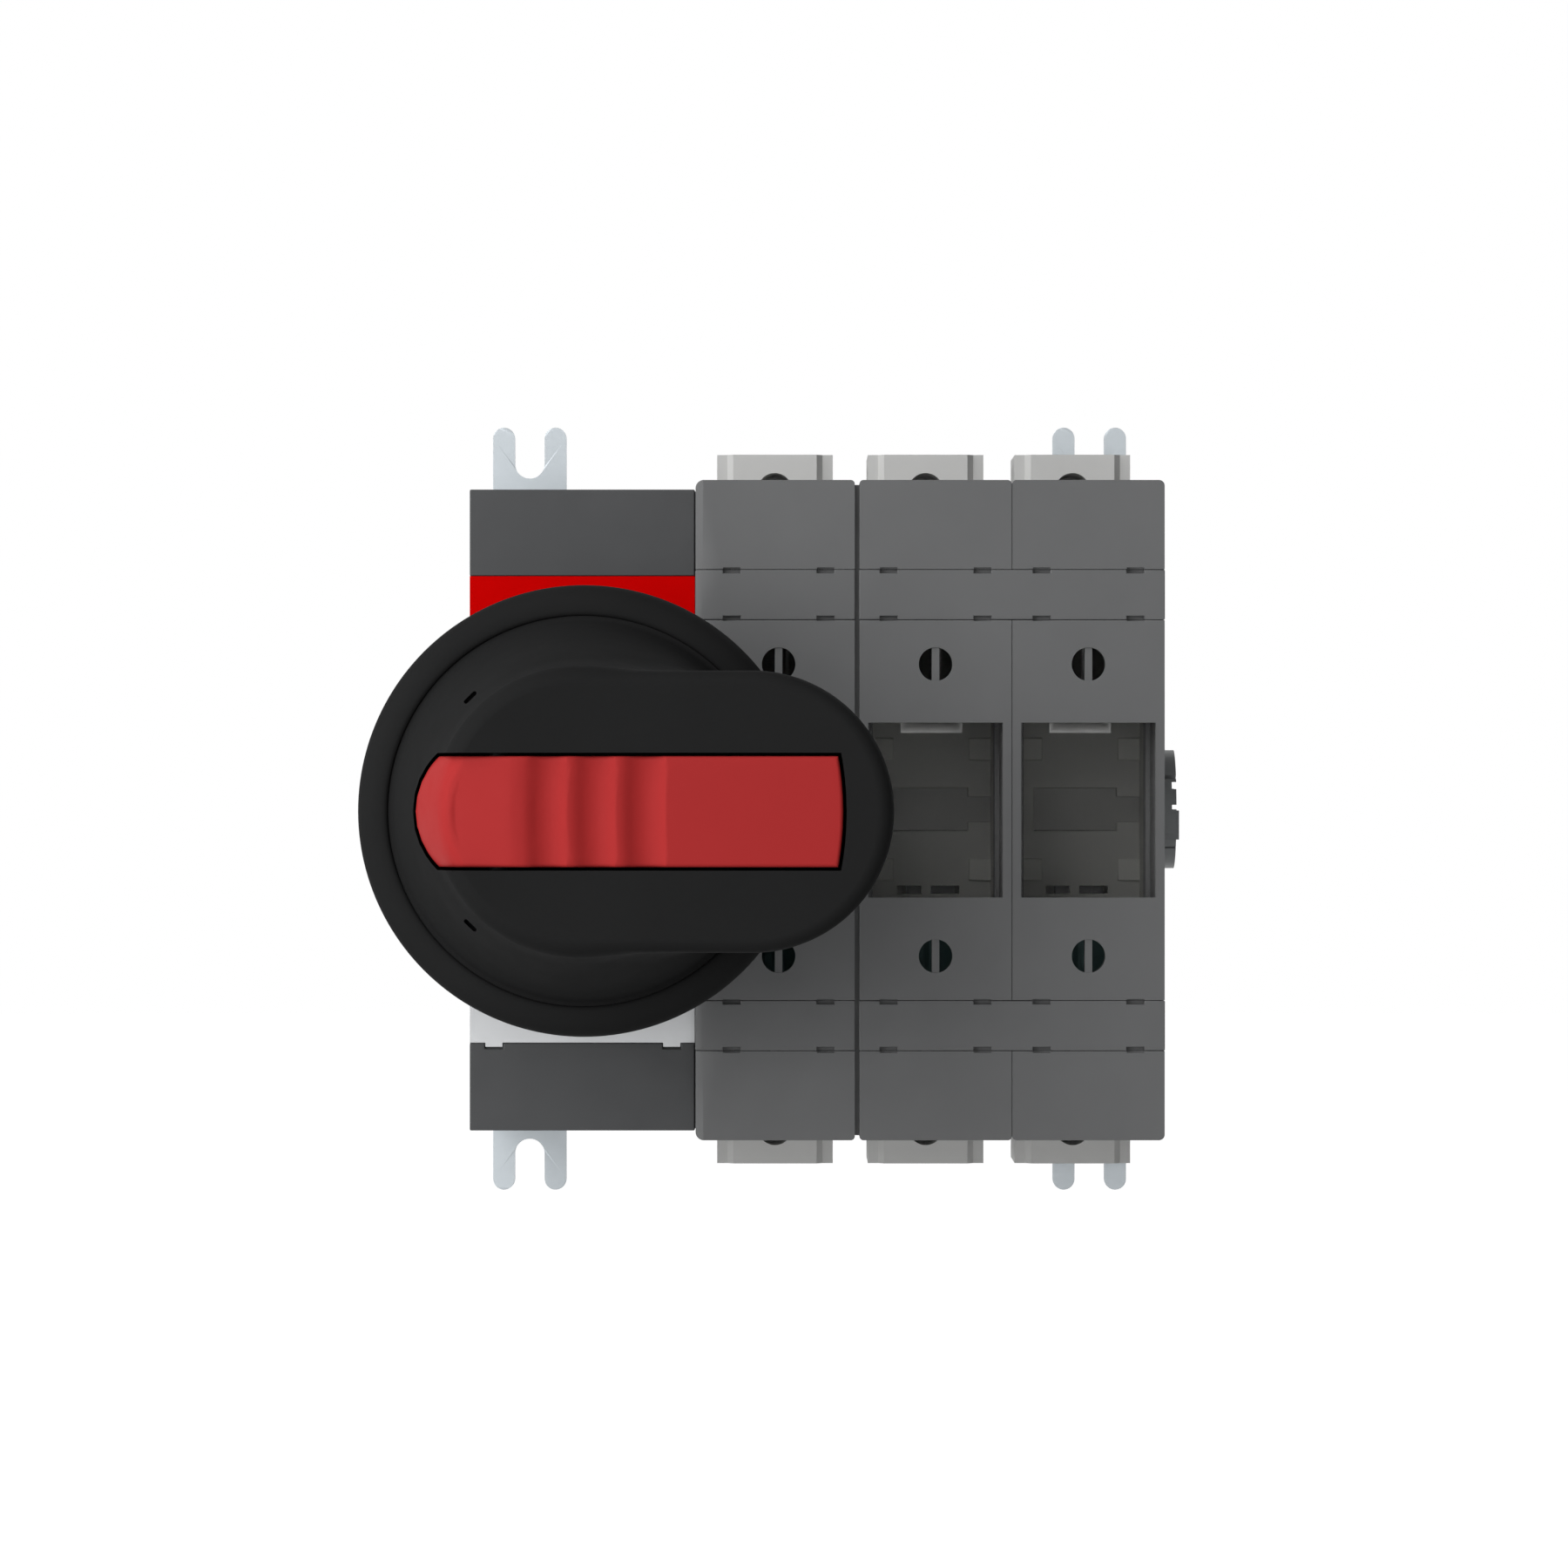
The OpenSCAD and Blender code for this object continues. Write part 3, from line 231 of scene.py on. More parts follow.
MATERIALS = {
    "mechanism_plastic": plastic("mechanism_plastic", (0.050, 0.0515, 0.0535), 0.5, 0.3),
    # the pole plastic carries painted light on the floors of the fuse compartments
    "pole_plastic": paint_light_in_wells(plastic("pole_plastic", (0.120, 0.122, 0.124), 0.5, 0.33)),
    "cover_plastic": plastic("cover_plastic", (0.122, 0.124, 0.126), 0.5, 0.33),
    "base_plastic": plastic("base_plastic", (0.60, 0.60, 0.59), 0.5, 0.4, grain=700.0),
    "label_silver": metal("label_silver", (0.50, 0.51, 0.52), 0.42, (1, 1, 30), metallic=0.4),
    "label_red": plastic("label_red", (0.62, 0.0004, 0.0004), 0.5, 0.008, vary=0.02),
    "zinc_steel": metal("zinc_steel", (0.42, 0.455, 0.48), 0.4, (1, 1, 12), metallic=0.5),
    "screw_steel": metal("screw_steel", (0.56, 0.56, 0.55), 0.35),
    "silvered_copper": metal("silvered_copper", (0.80, 0.78, 0.72), 0.35, (1, 1, 10)),
    "bare_copper": metal("bare_copper", (0.72, 0.40, 0.26), 0.4, (1, 1, 10)),
    "handle_black": plastic("handle_black", (0.0188, 0.0190, 0.0192), 0.55, 0.004, vary=0.06),
    "lever_red": plastic("lever_red", (0.415, 0.029, 0.029), 0.5, 0.045, vary=0.03),
    "gear_plastic": plastic("gear_plastic", (0.03, 0.03, 0.031), 0.45, 0.4),
    "hub_plastic": plastic("hub_plastic", (0.24, 0.25, 0.255), 0.5, 0.35),
    "rubber": plastic("rubber", (0.012, 0.012, 0.012), 0.75, 0.3, grain=500.0),
    "clear_pane": clear_plastic("clear_pane"),
}
# Metal inside, seen only through gaps and holes: the lever pin is blackened steel and the top fuse clip tinned
# copper, while the bars, moving contacts and bottom fuse clip carry painted shade
INNER_METAL_AND_PAINTED_SHADE = {
    "lever_pin": metal("blackened_steel", (0.02, 0.02, 0.02), 0.6, metallic=0.3),
}
INNER_METAL_AND_PAINTED_SHADE["fuse_clip_top"] = metal("tinned_copper", (0.56, 0.56, 0.55), 0.5)
# painted shade: near-black teal stands for the shade in the holes and slots these parts are seen through, unlike
# the light top fuse clip
for node in ("line_bar", "load_bar", "moving_contacts", "fuse_clip_bottom"):
    INNER_METAL_AND_PAINTED_SHADE[node] = metal("painted_shade_" + node, (0.055, 0.10, 0.10), 0.65, metallic=0.35)

SLOT_OF = {row["node"]: row["material_slot"] for row in frame["record"]["subparts"]}


def base_name(node):
    return node.rstrip("0123456789").rstrip("_")


# Edge rounding of each kind of node, in millimetres
EDGE = {
    "mechanism_base": 0.25, "mechanism_cover": 0.25, "front_plate": 0.06, "red_stripe": 0.05,
    "mounting_foot_left": 0.25, "mounting_foot_right": 0.25,
    "pole_housing_single": 0.2, "pole_housing_double": 0.2, "pole_base": 0.18,
    "terminal_cover_top": 0.2, "terminal_cover_bottom": 0.2, "fuse_cover": 0.18,
    "fuse_window": 0.1,
}
DEFAULT_EDGE = 0.12


def dress(node, obj):
    """Gives a CAD node its material and softens its edges."""
    slot = SLOT_OF[node]
    obj.data.materials.clear()
    obj.data.materials.append(INNER_METAL_AND_PAINTED_SHADE.get(base_name(node), MATERIALS[slot]))
    for poly in obj.data.polygons:
        poly.material_index = 0
    weld = obj.modifiers.new("weld", "WELD")
    weld.merge_threshold = 0.00001
    width = EDGE.get(node, EDGE.get(base_name(node), DEFAULT_EDGE))
    bevel = obj.modifiers.new("bevel", "BEVEL")
    bevel.width = width * MM
    bevel.segments = 2
    bevel.limit_method = "ANGLE"
    bevel.angle_limit = math.radians(40)
    bevel.harden_normals = False
    obj.data.shade_smooth()
    normals = obj.modifiers.new("normals", "WEIGHTED_NORMAL")
    normals.keep_sharp = False
    normals.weight = 60


REPLACED = ("handle_grip", "handle_base_plate", "padlock_lever", "side_hub")
for name, obj in NODES.items():
    if name not in REPLACED:
        dress(name, obj)


# Shapes of the handle


def mm_box(node):
    """Lowest and highest X, depth and Z of a CAD node, in millimetres."""
    lo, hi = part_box(node)
    return (
        (lo.x / MM, hi.x / MM),
        (-hi.y / MM, -lo.y / MM),
        (lo.z / MM, hi.z / MM),
    )


def mesh_object(name, points, faces):
    """A mesh from points (x, depth, z) in millimetres."""
    bm = bmesh.new()
    verts = [bm.verts.new((x * MM, -d * MM, z * MM)) for x, d, z in points]
    for face in faces:
        try:
            bm.faces.new([verts[i] for i in face])
        except ValueError:
            pass
    bmesh.ops.remove_doubles(bm, verts=bm.verts, dist=2e-7)
    bmesh.ops.dissolve_degenerate(bm, edges=bm.edges, dist=1e-7)
    bmesh.ops.recalc_face_normals(bm, faces=bm.faces)
    mesh = bpy.data.meshes.new(name)
    bm.to_mesh(mesh)
    bm.free()
    mesh.shade_smooth()
    obj = bpy.data.objects.new(name, mesh)
    bpy.context.scene.collection.objects.link(obj)
    return obj


def boolean(obj, cutter, operation="DIFFERENCE"):
    """Applies an exact boolean and removes the cutter."""
    mod = obj.modifiers.new("cut", "BOOLEAN")
    mod.operation = operation
    mod.solver = "EXACT"
    mod.object = cutter
    graph = bpy.context.evaluated_depsgraph_get()
    made = bpy.data.meshes.new_from_object(obj.evaluated_get(graph))
    obj.modifiers.clear()
    old = obj.data
    obj.data = made
    made.name = obj.name
    bpy.data.meshes.remove(old)
    bpy.data.objects.remove(cutter)


def place(obj, node, edge=0.12, angle=40):
    """Stands in for a CAD node: same body, same slot, softened edges."""
    obj.data.materials.clear()
    obj.data.materials.append(MATERIALS[SLOT_OF[node]])
    if edge:
        bevel = obj.modifiers.new("bevel", "BEVEL")
        bevel.width = edge * MM
        bevel.segments = 2
        bevel.limit_method = "ANGLE"
        bevel.angle_limit = math.radians(angle)
    normals = obj.modifiers.new("normals", "WEIGHTED_NORMAL")
    normals.weight = 60
    obj.data.shade_smooth()
    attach(obj, NODES[node]["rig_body"])
    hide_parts(node)


def interpolate(table, value):
    """Linear lookup in a list of (key, result) with rising keys."""
    for (k0, r0), (k1, r1) in zip(table, table[1:]):
        if value <= k1:
            t = max(0.0, (value - k0) / (k1 - k0))
            return r0 + t * (r1 - r0)
    return table[-1][1]


def smooth_max(a, b, k):
    h = max(k - abs(a - b), 0.0) / k
    return max(a, b) + h * h * k / 4


PLATE_X, PLATE_D, PLATE_Z = mm_box("handle_base_plate")
GRIP_X, GRIP_D, GRIP_Z = mm_box("handle_grip")
LEVER_X, LEVER_D, LEVER_Z = mm_box("padlock_lever")
PIN_X, PIN_D, PIN_Z = mm_box("lever_pin")
SHAFT_X, SHAFT_D, SHAFT_Z = mm_box("handle_shaft")
HANDLE_X = (PLATE_X[0] + PLATE_X[1]) / 2
DOOR_D = PLATE_D[0]
PLATE_R = (PLATE_X[1] - PLATE_X[0]) / 2
FRONT_D = GRIP_D[1]
DOME_R = 32.54
GRIP_HALF = 23.0
TIP_L = GRIP_X[1] - HANDLE_X - GRIP_HALF
UNDER_D = DOOR_D + 9.0
PIVOT_X = (PIN_X[0] + PIN_X[1]) / 2
PIVOT_D = (PIN_D[0] + PIN_D[1]) / 2
LEVER_LEFT = LEVER_X[0] - 0.9
LEVER_R = PIVOT_X - LEVER_LEFT
LEVER_HALF = LEVER_Z[1]

# The dome's radius against depth, from the valley to the flat front
DOME = [
    (DOOR_D + 5.3, DOME_R), (DOOR_D + 5.45, 32.2), (DOOR_D + 5.75, 31.85), (DOOR_D + 6.3, 31.55),
    (DOOR_D + 7.2, 31.25), (DOOR_D + 9.4, 30.6),
    (DOOR_D + 13.0, 29.4), (DOOR_D + 17.2, 28.0), (DOOR_D + 21.4, 26.6), (DOOR_D + 25.6, 25.2),
    (DOOR_D + 29.2, 24.0), (DOOR_D + 31.0, 23.35), (DOOR_D + 32.5, 22.6), (DOOR_D + 33.4, 21.9),
    (DOOR_D + 33.85, 21.3), (FRONT_D, 20.8),
]


def blade_radius(phi, half):
    """Distance from the shaft to the blade's outline of that half width, along direction phi."""
    c = math.cos(phi)
    s = abs(math.sin(phi))
    if c <= 0:
        return half
    if s > 1e-9 and half / s * c <= TIP_L:
        return half / s
    return TIP_L * c + math.sqrt(max(0.0, half * half - (TIP_L * s) ** 2))


def front_edge(phi):
    """Width of the rounded front edge, wider at the tip."""
    r = blade_radius(phi, GRIP_HALF)
    nx = math.cos(phi) if math.cos(phi) <= 0 else max(0.0, (r * math.cos(phi) - TIP_L) / GRIP_HALF)
    return 2.3 + 0.4 * max(0.0, nx) ** 2


def build_grip():
    cols = 360
    edge_h = 2.7
    lower = 1.6

    def join(d):
        """How softly the blade's side runs into the dome: sharp at its underside, soft higher up."""
        t = min(1.0, max(0.0, (d - UNDER_D) / 12.0))
        return 0.02 + 2.4 * t * t * (3 - 2 * t)

    rows = []
    fixed = [
        (8.6, DOOR_D - 6.0), (8.9, DOOR_D - 5.7), (8.9, DOOR_D - 1.25), (8.0, DOOR_D - 1.25), (8.0, DOOR_D - 0.05),
        (8.9, DOOR_D - 0.05), (8.9, DOOR_D + 3.8), (31.8, DOOR_D + 3.8), (DOME_R, DOOR_D + 4.3),
    ]
    rows += [[(r, d)] * cols for r, d in fixed]
    phis = [2 * math.pi * j / cols for j in range(cols)]

    def dome(d):
        return interpolate(DOME, d)

    for d in (5.3, 5.37, 5.45, 5.6, 5.75, 6.0, 6.3, 6.7, 7.2, 8.0, 8.99):
        d += DOOR_D
        rows.append([(dome(d), d)] * cols)
    for s in (0.06, 0.2, 0.4, 0.6, 0.8, 1.0):
        row = []
        for phi in phis:
            start = dome(UNDER_D)
            end = max(start, blade_radius(phi, GRIP_HALF - lower))
            row.append((start + s * (end - start), UNDER_D))
        rows.append(row)
    for k in range(1, 6):
        turn = math.radians(18 * k)
        d = UNDER_D + lower * (1 - math.cos(turn))
        half = GRIP_HALF - lower + lower * math.sin(turn)
        rows.append([(smooth_max(dome(d), blade_radius(p, half), join(d)), d) for p in phis])
    count = 56
    first = UNDER_D + lower
    last = FRONT_D - edge_h
    for k in range(1, count + 1):
        d = first + (last - first) * k / count
        rows.append([(smooth_max(dome(d), blade_radius(p, GRIP_HALF), join(d)), d) for p in phis])
    widths = [front_edge(p) for p in phis]
    for k in range(1, 13):
        turn = math.radians(7.5 * k)
        d = FRONT_D - edge_h * (1 - math.sin(turn))
        row = []
        for p, w in zip(phis, widths):
            half = GRIP_HALF - w * (1 - math.cos(turn))
            blend = join(d) * (1 - k / 12) + 0.02
            row.append((smooth_max(dome(d), blade_radius(p, half), blend), d))
        rows.append(row)
    points = []
    for row in rows:
        for phi, (r, d) in zip(phis, row):
            points.append((HANDLE_X + r * math.cos(phi), d, r * math.sin(phi)))
    faces = [list(range(cols))[::-1]]
    for i in range(len(rows) - 1):
        for j in range(cols):
            k = (j + 1) % cols
            faces.append([i * cols + j, i * cols + k, (i + 1) * cols + k, (i + 1) * cols + j])
    faces.append([(len(rows) - 1) * cols + j for j in range(cols)])
    grip = mesh_object("grip", points, faces)
    boolean(grip, lever_body("pocket_cutter", clearance=0.55))
    boolean(grip, lever_body("undercut", clearance=0.55, end_clearance=1.7, below=0.5))
    boolean(grip, shaft_socket())
    boolean(grip, shackle_slot())
    for a in (134, 226):
        boolean(grip, dome_mark(math.radians(a)))
    return grip


def prism(name, outline, axis, low, high):
    """A straight prism: outline in the two other axes, in the order (x, depth, z) less the axis."""
    n = len(outline)

    def point(p, h):
        return [(h, p[0], p[1]), (p[0], h, p[1]), (p[0], p[1], h)][axis]

    points = [point(p, low) for p in outline] + [point(p, high) for p in outline]
    faces = [list(range(n)), list(range(n, 2 * n))]
    faces += [[i, (i + 1) % n, n + (i + 1) % n, n + i] for i in range(n)]
    return mesh_object(name, points, faces)


def shaft_socket():
    half = (SHAFT_X[1] - SHAFT_X[0]) / 2 + 0.08
    square = [(HANDLE_X + i * half, j * half) for i, j in ((-1, -1), (1, -1), (1, 1), (-1, 1))]
    return prism("socket_cutter", square, 1, DOOR_D - 8, SHAFT_D[1] + 0.6)


def shackle_slot():
    x = GRIP_X[1] - GRIP_HALF - 7.9
    d = LEVER_D[0] + 5.5
    outline = []
    for side, start in ((1, -90), (-1, 90)):
        for k in range(17):
            a = math.radians(start + 180 * k / 16)
            outline.append((x + side * 0.8 + 4 * math.cos(a), d + 4 * math.sin(a)))
    return prism("shackle_cutter", outline, 2, -40, 40)


def dome_mark(angle):
    """A short tangential groove across the dome's slope, with round ends."""
    radial = Vector((math.cos(angle), math.sin(angle)))
    along = Vector((-radial.y, radial.x))
    centre = Vector((HANDLE_X, 0)) + radial * 26.0
    outline = []
    for side, start in ((1, -90), (-1, 90)):
        for k in range(9):
            a = math.radians(start + 180 * k / 8)
            p = centre + along * (side * 0.95 + 0.38 * math.cos(a)) + radial * (0.38 * math.sin(a))
            outline.append((p.x, p.y))
    return prism("mark_cutter", outline, 1, DOOR_D + 20.0, FRONT_D + 1)


def build_plate():
    """The base plate: a ring with a convex face, turned about the shaft."""
    r0 = 8.98
    inner = 32.6
    profile = [
        (r0, DOOR_D), (PLATE_R - 0.4, DOOR_D), (PLATE_R - 0.12, DOOR_D + 0.12), (PLATE_R, DOOR_D + 0.4),
    ]
    for k in range(15):
        a = math.radians(90 * k / 14)
        profile.append((33.3 + (PLATE_R - 33.3) * math.cos(a), DOOR_D + 1.6 + 4.4 * math.sin(a)))
    profile += [(r, DOOR_D + d) for r, d in ((33.0, 5.9), (32.8, 5.76), (32.66, 5.6), (inner, 5.42), (inner, 3.5))]
    profile.append((r0, DOOR_D + 3.5))
    cols = 192
    points = []
    for r, d in profile:
        for j in range(cols):
            a = 2 * math.pi * j / cols
            points.append((HANDLE_X + r * math.cos(a), d, r * math.sin(a)))
    faces = []
    n = len(profile)
    for i in range(n):
        for j in range(cols):
            k = (j + 1) % cols
            m = (i + 1) % n
            faces.append([i * cols + j, i * cols + k, m * cols + k, m * cols + j])
    plate = mesh_object("base_plate", points, faces)
    for a in (45, 135, 225, 315):
        x = HANDLE_X + 25 * math.cos(math.radians(a))
        z = 25 * math.sin(math.radians(a))
        ring = [(x + 1.65 * math.cos(t * math.pi / 16), z + 1.65 * math.sin(t * math.pi / 16)) for t in range(32)]
        boolean(plate, prism("screw_cutter", ring, 1, DOOR_D - 1, DOOR_D + 2.8))
    return plate


# The padlock lever

# Finger grooves along X, from left to right
GROOVES = [HANDLE_X - 9.6, HANDLE_X - 2.0, HANDLE_X + 6.0, HANDLE_X + 14.2]
GROOVE_SLOPE = 0.5
END_SLOPE = 0.22


def groove_drop(x):
    """How deep a groove lies below the plateau at x: down over 0.3 of its width, then up in an arc."""
    for a, b in zip(GROOVES, GROOVES[1:]):
        if a <= x < b:
            t = (x - a) / (b - a)
            if t < 0.3:
                fall = t / 2 - 0.15 / math.pi * math.sin(math.pi * t / 0.3)
            else:
                v = t - 0.3
                fall = 0.15 + v - 0.85 * v * v / 0.49
            return GROOVE_SLOPE * (b - a) * fall
    return 0.0


def end_drop(x):
    """How far the left end of the plateau slopes down, before the steep end."""
    run = max(0.0, GROOVES[0] - 0.6 - x)
    if run < 1.6:
        return END_SLOPE * run * run / 3.2
    if run < 10.0:
        return END_SLOPE * (run - 0.8)
    return max(0.3, END_SLOPE * 9.2 - 0.28 * (run - 10.0))


def end_profile(radius):
    """Depth of the front at a distance from the shaft: flat, then down the dome's slope."""
    table = [(r, d) for d, r in reversed(DOME)]
    if radius <= table[0][0]:
        return FRONT_D
    return interpolate(table, radius)


def lever_ends(z, extra, end_extra):
    """Left and right end of the lever at height z, with a clearance all round."""
    r_left = 12.0 + end_extra
    r_right = 50.0 + extra
    left = LEVER_LEFT + 12.0 - math.sqrt(max(0.0, r_left ** 2 - z * z))
    right = LEVER_X[1] - 50.0 + math.sqrt(max(0.0, r_right ** 2 - z * z))
    return left, right


def lever_body(name, clearance=0.0, end_clearance=None, below=None):
    """The lever, or the space it lies in when there is a clearance, kept that far below the face."""
    half = LEVER_HALF + clearance
    cutter = clearance > 0
    end_extra = clearance if end_clearance is None else end_clearance
    edge = 0.62
    steps = [0.0, 0.04, 0.12, 0.26, 0.44, edge, 1.1, 2.2, 4.2, 6.6]
    zs = [-half + s for s in steps] + [0.0] + [half - s for s in reversed(steps)]
    count = 330
    fractions = [k / count for k in range(count + 1)]
    ends = [0.0, 0.0006, 0.002, 0.0045, 0.0075]
    fractions = sorted(set(ends + [1 - e for e in ends] + fractions))
    top = []
    bottom = []
    for z in zs:
        left, right = lever_ends(z, clearance, end_extra)
        for f in fractions:
            x = left + (right - left) * f
            if cutter:
                d = FRONT_D + 3
                if below is not None:
                    d = end_profile(math.hypot(x - HANDLE_X, z)) - below
                dx = x - PIVOT_X
                reach = LEVER_R + end_extra
                low = LEVER_D[0] - 0.3
                if abs(dx) < reach:
                    low = min(low, PIVOT_D - math.sqrt(reach * reach - dx * dx))
                low = min(low, d - 0.2)
            else:
                radius = math.hypot(x - HANDLE_X, z)
                d = end_profile(radius + 0.25) if x < HANDLE_X else FRONT_D
                d -= groove_drop(x) + end_drop(x)
                near = min(half - abs(z), x - left, right - x)
                if near < edge:
                    d -= edge - math.sqrt(max(0.0, edge ** 2 - (edge - near) ** 2))
                low = LEVER_D[0]
                d = max(d, low + 1.0)
            top.append((x, d, z))
            bottom.append((x, low, z))
    n = len(fractions)
    m = len(zs)
    points = top + bottom
    shift = n * m
    faces = []
    for i in range(m - 1):
        for j in range(n - 1):
            a = i * n + j
            faces.append([a, a + 1, a + n + 1, a + n])
            if cutter:
                faces.append([shift + a, shift + a + n, shift + a + n + 1, shift + a + 1])
    rim = [j for j in range(n)] + [i * n + n - 1 for i in range(1, m)]
    rim += [(m - 1) * n + j for j in range(n - 2, -1, -1)] + [i * n for i in range(m - 2, 0, -1)]
    for a, b in zip(rim, rim[1:] + rim[:1]):
        faces.append([a, b, shift + b, shift + a])
    if not cutter:
        faces.append([shift + a for a in rim])
        keep = set(range(shift)) | {shift + a for a in rim}
        order = {old: new for new, old in enumerate(sorted(keep))}
        points = [points[i] for i in sorted(keep)]
        faces = [[order[i] for i in f] for f in faces]
    return mesh_object(name, points, faces)


# The hub on the right end of the cross shaft, and trim of the housings

HUB_X, HUB_D, HUB_Z = mm_box("side_hub")
HUB_R = HUB_Z[1]
HUB_AXIS = (HUB_D[0] + HUB_D[1]) / 2


def rod_x(name, radius, x0, x1):
    """A round bar along X on the hub's axis."""
    ring = []
    for k in range(96):
        a = 2 * math.pi * k / 96
        ring.append((HUB_AXIS + radius * math.cos(a), radius * math.sin(a)))
    return prism(name, ring, 0, x0, x1)


def brick(name, x, d, z):
    return prism(name, [(d[0], z[0]), (d[1], z[0]), (d[1], z[1]), (d[0], z[1])], 0, x[0], x[1])


def build_hub():
    """A cup with a raised key on the near side, slots right across and notches in its rim."""
    face = HUB_X[1]
    ring = face - 0.5
    hub = rod_x("hub", HUB_R, HUB_X[0], ring)
    boolean(hub, brick("key", (HUB_X[0] + 1, face), (HUB_AXIS + 3, HUB_AXIS + HUB_R - 1.0), (-5.4, -0.2)), "UNION")
    boolean(hub, rod_x("cup_cutter", HUB_R - 3.4, ring - 2.4, face + 1))
    for z in ((3.6, 4.85), (0.0, 0.8)):
        boolean(hub, brick("slot_cutter", (ring - 0.8, face + 1), (HUB_AXIS - HUB_R - 1, HUB_AXIS + HUB_R + 1), z))
    for turn in (57, 130):
        a = math.radians(turn)
        across = [(math.cos(a), math.sin(a)), (math.sin(a), -math.cos(a))]
        outline = []
        for u, v in ((-1.1, HUB_R - 2.4), (1.1, HUB_R - 2.4), (1.1, HUB_R + 2), (-1.1, HUB_R + 2)):
            outline.append((HUB_AXIS + u * across[0][0] + v * across[1][0], u * across[0][1] - v * across[1][1]))
        boolean(hub, prism("notch_cutter", outline, 0, HUB_X[0] + 0.6, face + 1))
    boolean(hub, rod_x("core", 3.0, HUB_X[0] + 0.5, ring - 0.8), "UNION")
    return hub


def build_trim():
    """The tongue in the joint between the two housings, and the tips in the covers' hook notches."""
    left_x, left_d, left_z = mm_box("pole_housing_single")
    right_x, right_d, right_z = mm_box("pole_housing_double")
    front = right_d[1]
    joint = brick("housing_joint", (left_x[1] - 0.02, right_x[0] + 0.02), (front - 14, front - 1.6),
                  (left_z[0] + 0.8, left_z[1] - 0.8))
    fuse_z = mm_box("fuse_cover_1")[2][1] + 0.1
    term_z = mm_box("terminal_cover_top_1")[2][0]
    tips = None
    for i in (1, 2, 3):
        cover_x = mm_box("fuse_window_%d" % i)[0]
        middle = (cover_x[0] + cover_x[1]) / 2
        for hook in (-8.1, 8.1):
            for low, high in ((fuse_z, fuse_z + 0.6), (term_z - 0.7, term_z - 0.1)):
                for z in ((low, high), (-high, -low)):
                    tip = brick("hook_tips", (middle + hook - 1.52, middle + hook + 1.52),
                                (front - 1.95, front - 1.5), (z[0] - 0.02, z[1] + 0.02))
                    if tips is None:
                        tips = tip
                        continue
                    bm = bmesh.new()
                    bm.from_mesh(tips.data)
                    bm.from_mesh(tip.data)
                    bm.to_mesh(tips.data)
                    bm.free()
                    bpy.data.objects.remove(tip)
    for piece in (joint, tips):
        piece.data.materials.append(MATERIALS["pole_plastic"])
        piece.data.shade_flat()
        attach(piece, NODES["pole_housing_single"]["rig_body"])


place(build_hub(), "side_hub", edge=0.2)
build_trim()
grip = build_grip()
place(grip, "handle_grip", edge=0.12)
plate = build_plate()
place(plate, "handle_base_plate", edge=0.0)
lever = lever_body("lever")
place(lever, "padlock_lever", edge=0.0)


# Stage


def white_factor(nt):
    """1 for rays from the camera and in reflections or clear parts, else 0."""
    path = nt.nodes.new("ShaderNodeLightPath")
    first = nt.nodes.new("ShaderNodeMath")
    first.operation = "MAXIMUM"
    nt.links.new(path.outputs["Is Camera Ray"], first.inputs[0])
    nt.links.new(path.outputs["Is Glossy Ray"], first.inputs[1])
    second = nt.nodes.new("ShaderNodeMath")
    second.operation = "MAXIMUM"
    nt.links.new(first.outputs[0], second.inputs[0])
    nt.links.new(path.outputs["Is Transmission Ray"], second.inputs[1])
    return second.outputs[0]


def make_world():
    world = bpy.data.worlds.new("world")
    bpy.context.scene.world = world
    world.use_nodes = True
    nt = world.node_tree
    nt.nodes.clear()
    out = nt.nodes.new("ShaderNodeOutputWorld")
    lit = nt.nodes.new("ShaderNodeBackground")
    lit.inputs["Color"].default_value = (0.97, 0.985, 1.0, 1.0)
    lit.inputs["Strength"].default_value = 0.02
    white = nt.nodes.new("ShaderNodeBackground")
    white.inputs["Color"].default_value = (1, 1, 1, 1)
    white.inputs["Strength"].default_value = 1.0
    mix = nt.nodes.new("ShaderNodeMixShader")
    nt.links.new(white_factor(nt), mix.inputs["Fac"])
    nt.links.new(lit.outputs[0], mix.inputs[1])
    nt.links.new(white.outputs[0], mix.inputs[2])
    nt.links.new(mix.outputs[0], out.inputs["Surface"])


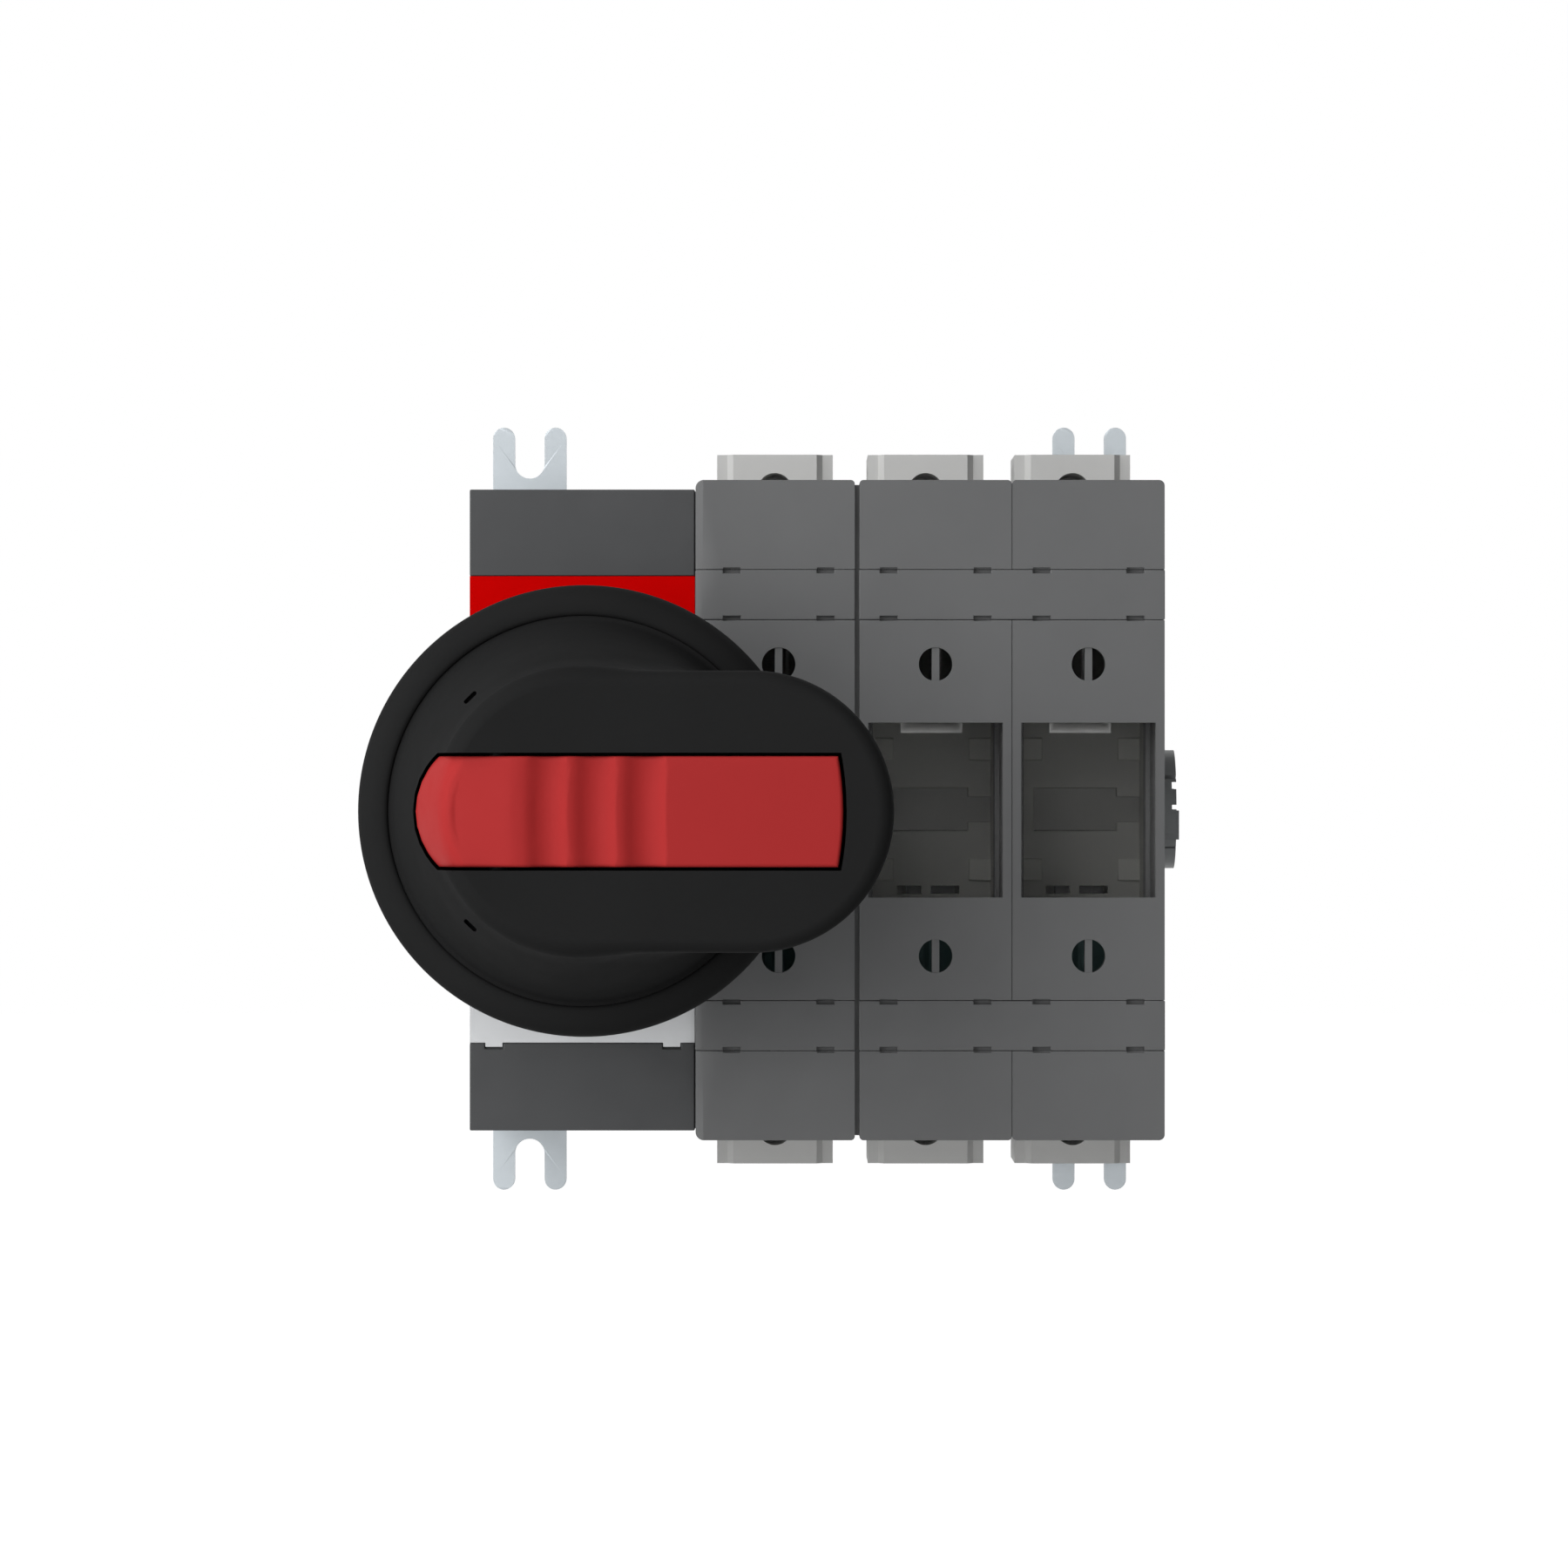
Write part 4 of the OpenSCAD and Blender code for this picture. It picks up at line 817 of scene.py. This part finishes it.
def make_floor():
    mat = bpy.data.materials.new("floor")
    mat.use_nodes = True
    nt = mat.node_tree
    nt.nodes.clear()
    out = nt.nodes.new("ShaderNodeOutputMaterial")
    diffuse = nt.nodes.new("ShaderNodeBsdfDiffuse")
    diffuse.inputs["Color"].default_value = (0.6, 0.6, 0.6, 1)
    glow = nt.nodes.new("ShaderNodeEmission")
    glow.inputs["Color"].default_value = (1, 1, 1, 1)
    nt.links.new(white_factor(nt), glow.inputs["Strength"])
    both = nt.nodes.new("ShaderNodeAddShader")
    nt.links.new(diffuse.outputs[0], both.inputs[0])
    nt.links.new(glow.outputs[0], both.inputs[1])
    nt.links.new(both.outputs[0], out.inputs["Surface"])
    bm = bmesh.new()
    bmesh.ops.create_circle(bm, cap_ends=True, segments=96, radius=4.0)
    mesh = bpy.data.meshes.new("floor")
    bm.to_mesh(mesh)
    bm.free()
    floor = bpy.data.objects.new("floor", mesh)
    floor.location = (0, 0, -0.165)
    mesh.materials.append(mat)
    bpy.context.scene.collection.objects.link(floor)


def area_light(name, where, size, power, target=(0, -0.06, 0), colour=(1, 1, 1)):
    data = bpy.data.lights.new(name, "AREA")
    data.shape = "DISK"
    data.size = size
    data.energy = power
    data.color = colour
    lamp = bpy.data.objects.new(name, data)
    lamp.location = where
    direction = Vector(target) - Vector(where)
    lamp.rotation_euler = direction.to_track_quat("-Z", "Y").to_euler()
    bpy.context.scene.collection.objects.link(lamp)


# Soft round lamps on one sphere about the object: name, direction, power
LAMP_DISTANCE = 1.3
LAMPS = [
    ("front_left", (-0.5, -1.0, 0.52), 5.6),
    ("low_left", (-0.55, -0.8, -0.1), 6.3),
    ("high_left", (-0.7, -0.45, 1.0), 3.8),
    ("left", (-1.0, -0.25, 0.15), 3.7),
    ("front", (0.0, -1.0, 0.0), 1.9),
    ("key", (-0.70, -0.55, 0.45), 1.6),
    ("back", (0.8, 1.2, 0.7), 7.0),
]

make_world()
make_floor()
for lamp_name, direction, power in LAMPS:
    area_light(lamp_name, Vector(direction).normalized() * LAMP_DISTANCE, 0.85, power)
